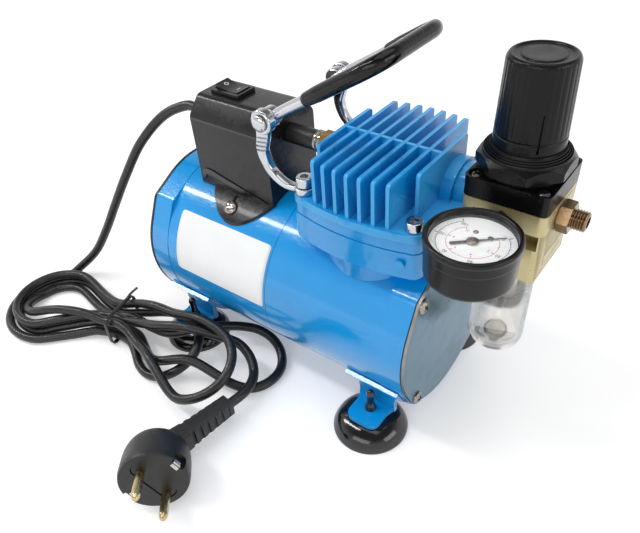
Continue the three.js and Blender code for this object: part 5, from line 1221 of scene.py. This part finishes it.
# Turned bronze-coloured plate: brown gold with bright crests.
bronze = finish("turned_bronze", 0x8E7559, 0.16, metal=1, shade=0.25, patch_mm=5, grain_mm=0.25,
                relief=0.25, rough_shift=0.08)
nipple_hex = slab(six_sided(6.7, REG_Y, PORT_Z), 136, 141.5, "x")
nipple_trim = spun([(0, -1), (6.5, -1), (8, 0.7), (8, 4.8), (6.5, 6.4), (0, 6.4)], (136, REG_Y, PORT_Z),
                   (1, 0, 0), sides=64)
nipple_bore = spun([(0, -20), (2.8, -20), (2.8, 20), (0, 20)], (141.5, REG_Y, PORT_Z), (1, 0, 0),
                   sides=48)
thread = [(0, -6), (4.2, -6), (4.2, 0.5)]
for i in range(5):
    thread += [(4.25, 0.45 + 1.22 * i, 0.12), (4.9, 0.95 + 1.22 * i, 0.12),
               (4.9, 1.15 + 1.22 * i, 0.12)]
thread += [(4.2, 6.55), (3.9, 6.8, 0.2), (0, 6.8)]
threads = spun(thread, (141.5, REG_Y, PORT_Z), (1, 0, 0), sides=72)
nipple_shape = combined(combined(nipple_hex, [nipple_trim], "INTERSECT"), [threads])
piece("outlet_nipple", cut(nipple_shape, nipple_bore), bronze,
      bevel=0.08, sharp=28)


# Gauge
# A drawn steel case with a rolled rim, enamelled black, on a stem screwed into the regulator.
# It holds a white printed dial with two small screws, and a needle on a plated brass hub.

GAUGE = Vector((REG_X, -36.9, 127.1))

# Black enamel on drawn steel: even, with a soft gloss.
case_black = finish("satin_case_enamel", 0x100F10, 0.22, shade=0.2, patch_mm=18, grain_mm=0.5,
                    relief=0.2, rough_shift=0.05, specular=0.3)
case_profile = [(0, 0), (18.2, 0, 1), (19.9, 1.6, 1.6), (20.25, 13.8), (20.5, 14.1, 0.2),
                (20.55, 14.6, 0.2), (20.65, 18.6, 0.3), (20.95, 19.2, 0.5), (20.95, 20.6, 1),
                (20.1, 21.4, 0.8), (19, 21.4, 0.5), (18.4, 20.6, 0.4), (18.5, 16.4), (0, 16.4)]
case_shape = spun(case_profile, GAUGE, sides=160)
stem_hex = slab(six_sided(6, PORT_Z, REG_X), -19, -8.3, "y")
stem = spun([(0, 0), (4.8, 0), (4.8, 14), (0, 14)], (REG_X, -16, PORT_Z), (0, 1, 0), sides=48)
piece("gauge_case", together(case_shape, stem_hex, stem), case_black, bevel=0.2)

# White printed aluminium: matt.
dial_white = finish("printed_dial_white", 0xFAFAFB, 0.5, shade=0.04, patch_mm=12, grain_mm=0.3,
                    relief=0.05)
piece("gauge_dial", spun([(1.4, 0), (18.2, 0), (18.2, 0.6), (1.4, 0.6)], GAUGE + Vector((0, 0, 16.7)),
                         sides=128, closed=True), dial_white)

# Screen-printed inks: matt.
black_ink = finish("black_dial_ink", 0x17171A, 0.5, shade=0.1, patch_mm=3, grain_mm=0.2, relief=0.05)
red_ink = finish("red_dial_ink", 0xC0392F, 0.5, shade=0.1, patch_mm=3, grain_mm=0.2, relief=0.05)
ink_height = GAUGE.z + 17.3
# The scale's zero and how far it turns, in degrees.
DIAL_START, DIAL_TURN = 40, 270


# Printed arcs, ticks and numerals stand a few hundredths of a millimetre over the dial.
def ring_band(inner, outer, start, end):
    steps = [math.radians(start + (end - start) * i / 90) for i in range(91)]
    outline = [(GAUGE.x + outer * math.cos(a), GAUGE.y + outer * math.sin(a)) for a in steps]
    outline += [(GAUGE.x + inner * math.cos(a), GAUGE.y + inner * math.sin(a)) for a in reversed(steps)]
    return slab(outline, ink_height - 0.02, ink_height + 0.05)


def tick(angle, inner, outer, width):
    a = math.radians(angle)
    out, aside = Vector((math.cos(a), math.sin(a))), Vector((-math.sin(a), math.cos(a)))
    middle = Vector(GAUGE[:2])
    ring = [middle + out * r + aside * s * width / 2
            for r, s in ((inner, -1), (outer, -1), (outer, 1), (inner, 1))]
    return slab(ring, ink_height - 0.02, ink_height + 0.06)


def numeral(text, angle, radius, size):
    data = bpy.data.curves.new("numeral", "FONT")
    data.body, data.size, data.align_x, data.align_y = text, size, "CENTER", "CENTER"
    data.extrude = 0.04
    made = bpy.data.objects.new("numeral", data)
    bpy.context.collection.objects.link(made)
    bpy.context.view_layer.update()
    mesh = bpy.data.meshes.new_from_object(made.evaluated_get(bpy.context.evaluated_depsgraph_get()))
    bpy.data.objects.remove(made)
    a = math.radians(angle)
    place = Matrix.Translation((GAUGE.x + radius * math.cos(a), GAUGE.y + radius * math.sin(a),
                                ink_height + 0.02))
    mesh.transform(place @ Matrix.Rotation(math.pi, 4, "Z"))
    mesh.transform(Matrix.Translation((SHIFT_MM / 1000, 0, 0)) @ Matrix.Scale(0.001, 4))
    return mesh


black_marks = [ring_band(15.15, 15.35, DIAL_START - DIAL_TURN, DIAL_START)]
red_marks = [ring_band(10.9, 11.1, DIAL_START - DIAL_TURN, DIAL_START)]
for i in range(51):
    angle = DIAL_START - DIAL_TURN * i / 50
    long = i % 10 == 0
    black_marks.append(tick(angle, 15.3, 17.2 if long else 16.4 if i % 5 == 0 else 15.95,
                            0.34 if long else 0.16))
    if i % 5 == 0:
        red_marks.append(tick(angle, 9.6 if long else 10.3, 11, 0.3 if long else 0.16))
for i, (outer_text, inner_text) in enumerate((("0", "0"), ("30", "2"), ("60", "4"), ("90", "6"),
                                              ("120", "8"), ("150", "10"))):
    black_marks.append(numeral(outer_text, DIAL_START - DIAL_TURN * i / 5, 13.1, 2.3))
    red_marks.append(numeral(inner_text, DIAL_START - DIAL_TURN * i / 5, 8.3, 1.8))
piece("dial_black_print", together(*black_marks), black_ink)
piece("dial_red_print", together(*red_marks), red_ink)
piece("dial_screws", together(*[
    cross_screw((x, y, ink_height), (0, 0, 1), 1.25, 0.5, 0.7)
    for x, y in ((113.8, -29.8), (120.9, -30.7))]), screw_steel)

needle_turn = math.radians(DIAL_START)
point_line = Vector((math.cos(needle_turn), math.sin(needle_turn), 0))
needle_frame = own_frame(point_line, Vector((-point_line.y, point_line.x, 0)), UP,
                         (GAUGE.x, GAUGE.y, ink_height))
arrow = [(-9.6, -0.85), (-2, -0.75), (2, -0.5), (14.6, -0.16), (14.6, 0.16), (2, 0.5), (-2, 0.75),
         (-9.6, 0.85)]

# Black enamel on thin aluminium.
needle_ink = finish("needle_enamel", 0x2B2826, 0.4, shade=0.2, patch_mm=4, grain_mm=0.2, relief=0.1)
piece("gauge_needle", slab(arrow, 0.5, 0.8, own=needle_frame), needle_ink, "needle",
      bevel=0.05)
hub = spun([(0, -2.6), (1, -2.6), (1, 0.4), (2.7, 0.4, 0.2), (2.7, 0.9, 0.3), (1.5, 1.5, 0.4),
            (0, 1.5)],
           (GAUGE.x, GAUGE.y, ink_height), sides=48)

# Nickelled brass, dulled.
hub_brass = finish("nickelled_hub", 0x9C8E80, 0.25, metal=1, shade=0.2, patch_mm=3, grain_mm=0.3,
                   relief=0.15)
piece("needle_hub", hub, hub_brass, "needle")


# Clear window and bowl
# The gauge's acrylic window and the trap's moulded polycarbonate bowl, which holds a baffle, a
# filter element and a drain. Part of the light goes straight through both, so what is inside shows.

def clear(name, tint, rough, ior, body):
    made = finish(name, tint, rough, shade=0.02, patch_mm=20, grain_mm=2.5, relief=0.03,
                  rough_shift=0.02)
    shader = made.node_tree.nodes["Principled BSDF"]
    shader.inputs["Transmission Weight"].default_value = 1.0
    shader.inputs["IOR"].default_value = ior
    shader.inputs["Alpha"].default_value = body
    return made


# Clear acrylic: it lets most light straight through and adds a weak gleam.
window_clear = clear("clear_gauge_window", 0xFAFBFC, 0.03, 1.2, 0.1)
piece("gauge_lens", spun([(0, 0), (17.8, 0, 0.1), (17.8, 0.8, 0.2), (0, 0.8)],
                         GAUGE + Vector((0, 0, 20.2)), sides=128), window_clear)

# Clear polycarbonate: slightly warm, and greyer where it is seen edge on.
bowl_clear = clear("clear_polycarbonate", 0xEFEAE2, 0.05, 1.4, 0.52)
bowl_profile = [(3.3, 47.6, 0.2), (8.5, 47.6, 2), (13, 49.4, 2.5), (14.5, 53.4, 3), (15, 108.5, 0.3),
                (13.3, 108.5, 0.3), (12.8, 54.4, 3), (9.8, 50.8, 1.5), (4.9, 49.9), (4.9, 52.6, 0.2),
                (3.3, 52.6, 0.2)]
piece("filter_bowl", spun(bowl_profile, REG_AXIS, sides=128, closed=True), bowl_clear)

# Smoked nylon: dark grey and dull.
baffle_nylon = finish("smoked_baffle_nylon", 0x3C3A3A, 0.4, shade=0.3, patch_mm=3, grain_mm=0.5,
                      relief=0.6)

# Sintered plastic: matt off-white with open grain.
element_felt = finish("sintered_filter_element", 0xDDD8CC, 0.85, shade=0.15, patch_mm=4, grain_mm=0.35,
                      relief=0.7)
element_profile = [(0, 80.6), (9.5, 80.6, 0.3), (9.5, 82.2, 0.3), (6.8, 82.8)]
for i in range(9):
    element_profile += [(6.8, 83.4 + 2.3 * i, 0.3), (6.3, 84.2 + 2.3 * i, 0.3),
                        (6.8, 85.0 + 2.3 * i, 0.3)]
element_profile += [(6.8, 104.8), (3.5, 104.8), (3.5, 129.6, 0.3), (0, 129.6)]
piece("filter_element", spun(element_profile, REG_AXIS), element_felt)
vanes = [spun([(3.6, 104.9), (8.4, 104.9, 0.3), (12.4, 101.5, 0.4), (12.4, 100.4, 0.3),
               (8.4, 103.6, 0.3), (3.6, 103.6)],
              REG_AXIS, closed=True)]
for i in range(16):
    a = math.pi * i / 8
    out, aside = Vector((math.cos(a), math.sin(a), 0)), Vector((-math.sin(a), math.cos(a), 0))
    vanes.append(slab(rectangle(1.9, 0.35, 0.2), 101.6, 105.6, own=own_frame(
        out, aside, UP, Vector(REG_AXIS) + out * 10.2)))
vanes.append(spun([(7.2, 79.4), (11, 79.4, 0.4), (11.6, 82.6, 0.4), (11.6, 88, 0.4), (11, 88),
                   (11, 83, 0.3), (7.2, 80.4)],
                  REG_AXIS, closed=True))
vanes.append(spun([(0, 79.2), (7.4, 79.2), (7.4, 80.4), (0, 80.4)], REG_AXIS))
piece("trap_baffle", together(*vanes), baffle_nylon)
drain_profile = [(0, 44.6), (2.2, 44.6, 0.2), (2.85, 45.2, 0.3), (2.85, 52.9), (6.5, 52.9, 0.2),
                 (6.5, 54.6, 0.3), (6.1, 54.9, 0.2), (5.6, 54.5, 0.2), (0, 54.5)]
piece("drain_valve", spun(drain_profile, REG_AXIS), switch_nylon, "drain")

# Undyed nylon: matt beige.
drain_cap_nylon = finish("beige_drain_cap", 0xC9BFAA, 0.5, shade=0.15, patch_mm=4, grain_mm=0.3,
                         relief=0.2)
piece("drain_cap", spun([(0, 54.4), (5.2, 54.4), (5.2, 54.7, 0.2), (2.2, 55.6, 0.8), (0, 56)],
                        REG_AXIS), drain_cap_nylon, "drain")


# Inner pieces
# The motor, shaft line, crank, piston, reeds, pressure switch, nipple and spindle stay as the CAD
# has them, in the metals and plastics that they are made of.

# Stacked electrical sheet: dark grey and dull.
laminations = finish("stator_laminations", 0x55565A, 0.5, metal=0.8, shade=0.3, patch_mm=9,
                     grain_mm=0.5, relief=0.4)

# Enamelled copper wire: red brown, in a coarse relief for its turns.
enamelled_wire = finish("enamelled_copper_wire", 0x9A4C22, 0.35, metal=0.85, shade=0.3, patch_mm=3,
                        grain_mm=0.8, relief=0.7)

# Bare cast aluminium: light grey with a rough skin.
cast_alloy = finish("cast_aluminium", 0xA7A9AC, 0.45, metal=0.9, shade=0.2, patch_mm=10, grain_mm=0.6,
                    relief=0.4)

# Ground steel: bright grey.
ground_steel = finish("ground_steel", 0xB9BCC0, 0.28, metal=1, shade=0.15, patch_mm=12, grain_mm=0.3,
                      relief=0.2)
inner_finish = {
    "stator": laminations, "crank": laminations, "stator_windings": enamelled_wire, "rotor": cast_alloy,
    "rear_bearing_bracket": cast_alloy, "rocking_piston": cast_alloy, "motor_shaft": ground_steel,
    "front_bearing": ground_steel, "rear_bearing": ground_steel, "intake_reed": ground_steel,
    "outlet_reed": ground_steel, "adjusting_spindle": ground_steel, "cooling_fan": satin_nylon,
    "pressure_switch": switch_nylon, "inlet_nipple": brass,
}
for name, material in inner_finish.items():
    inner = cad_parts[name]
    for place in inner.material_slots:
        place.material = material
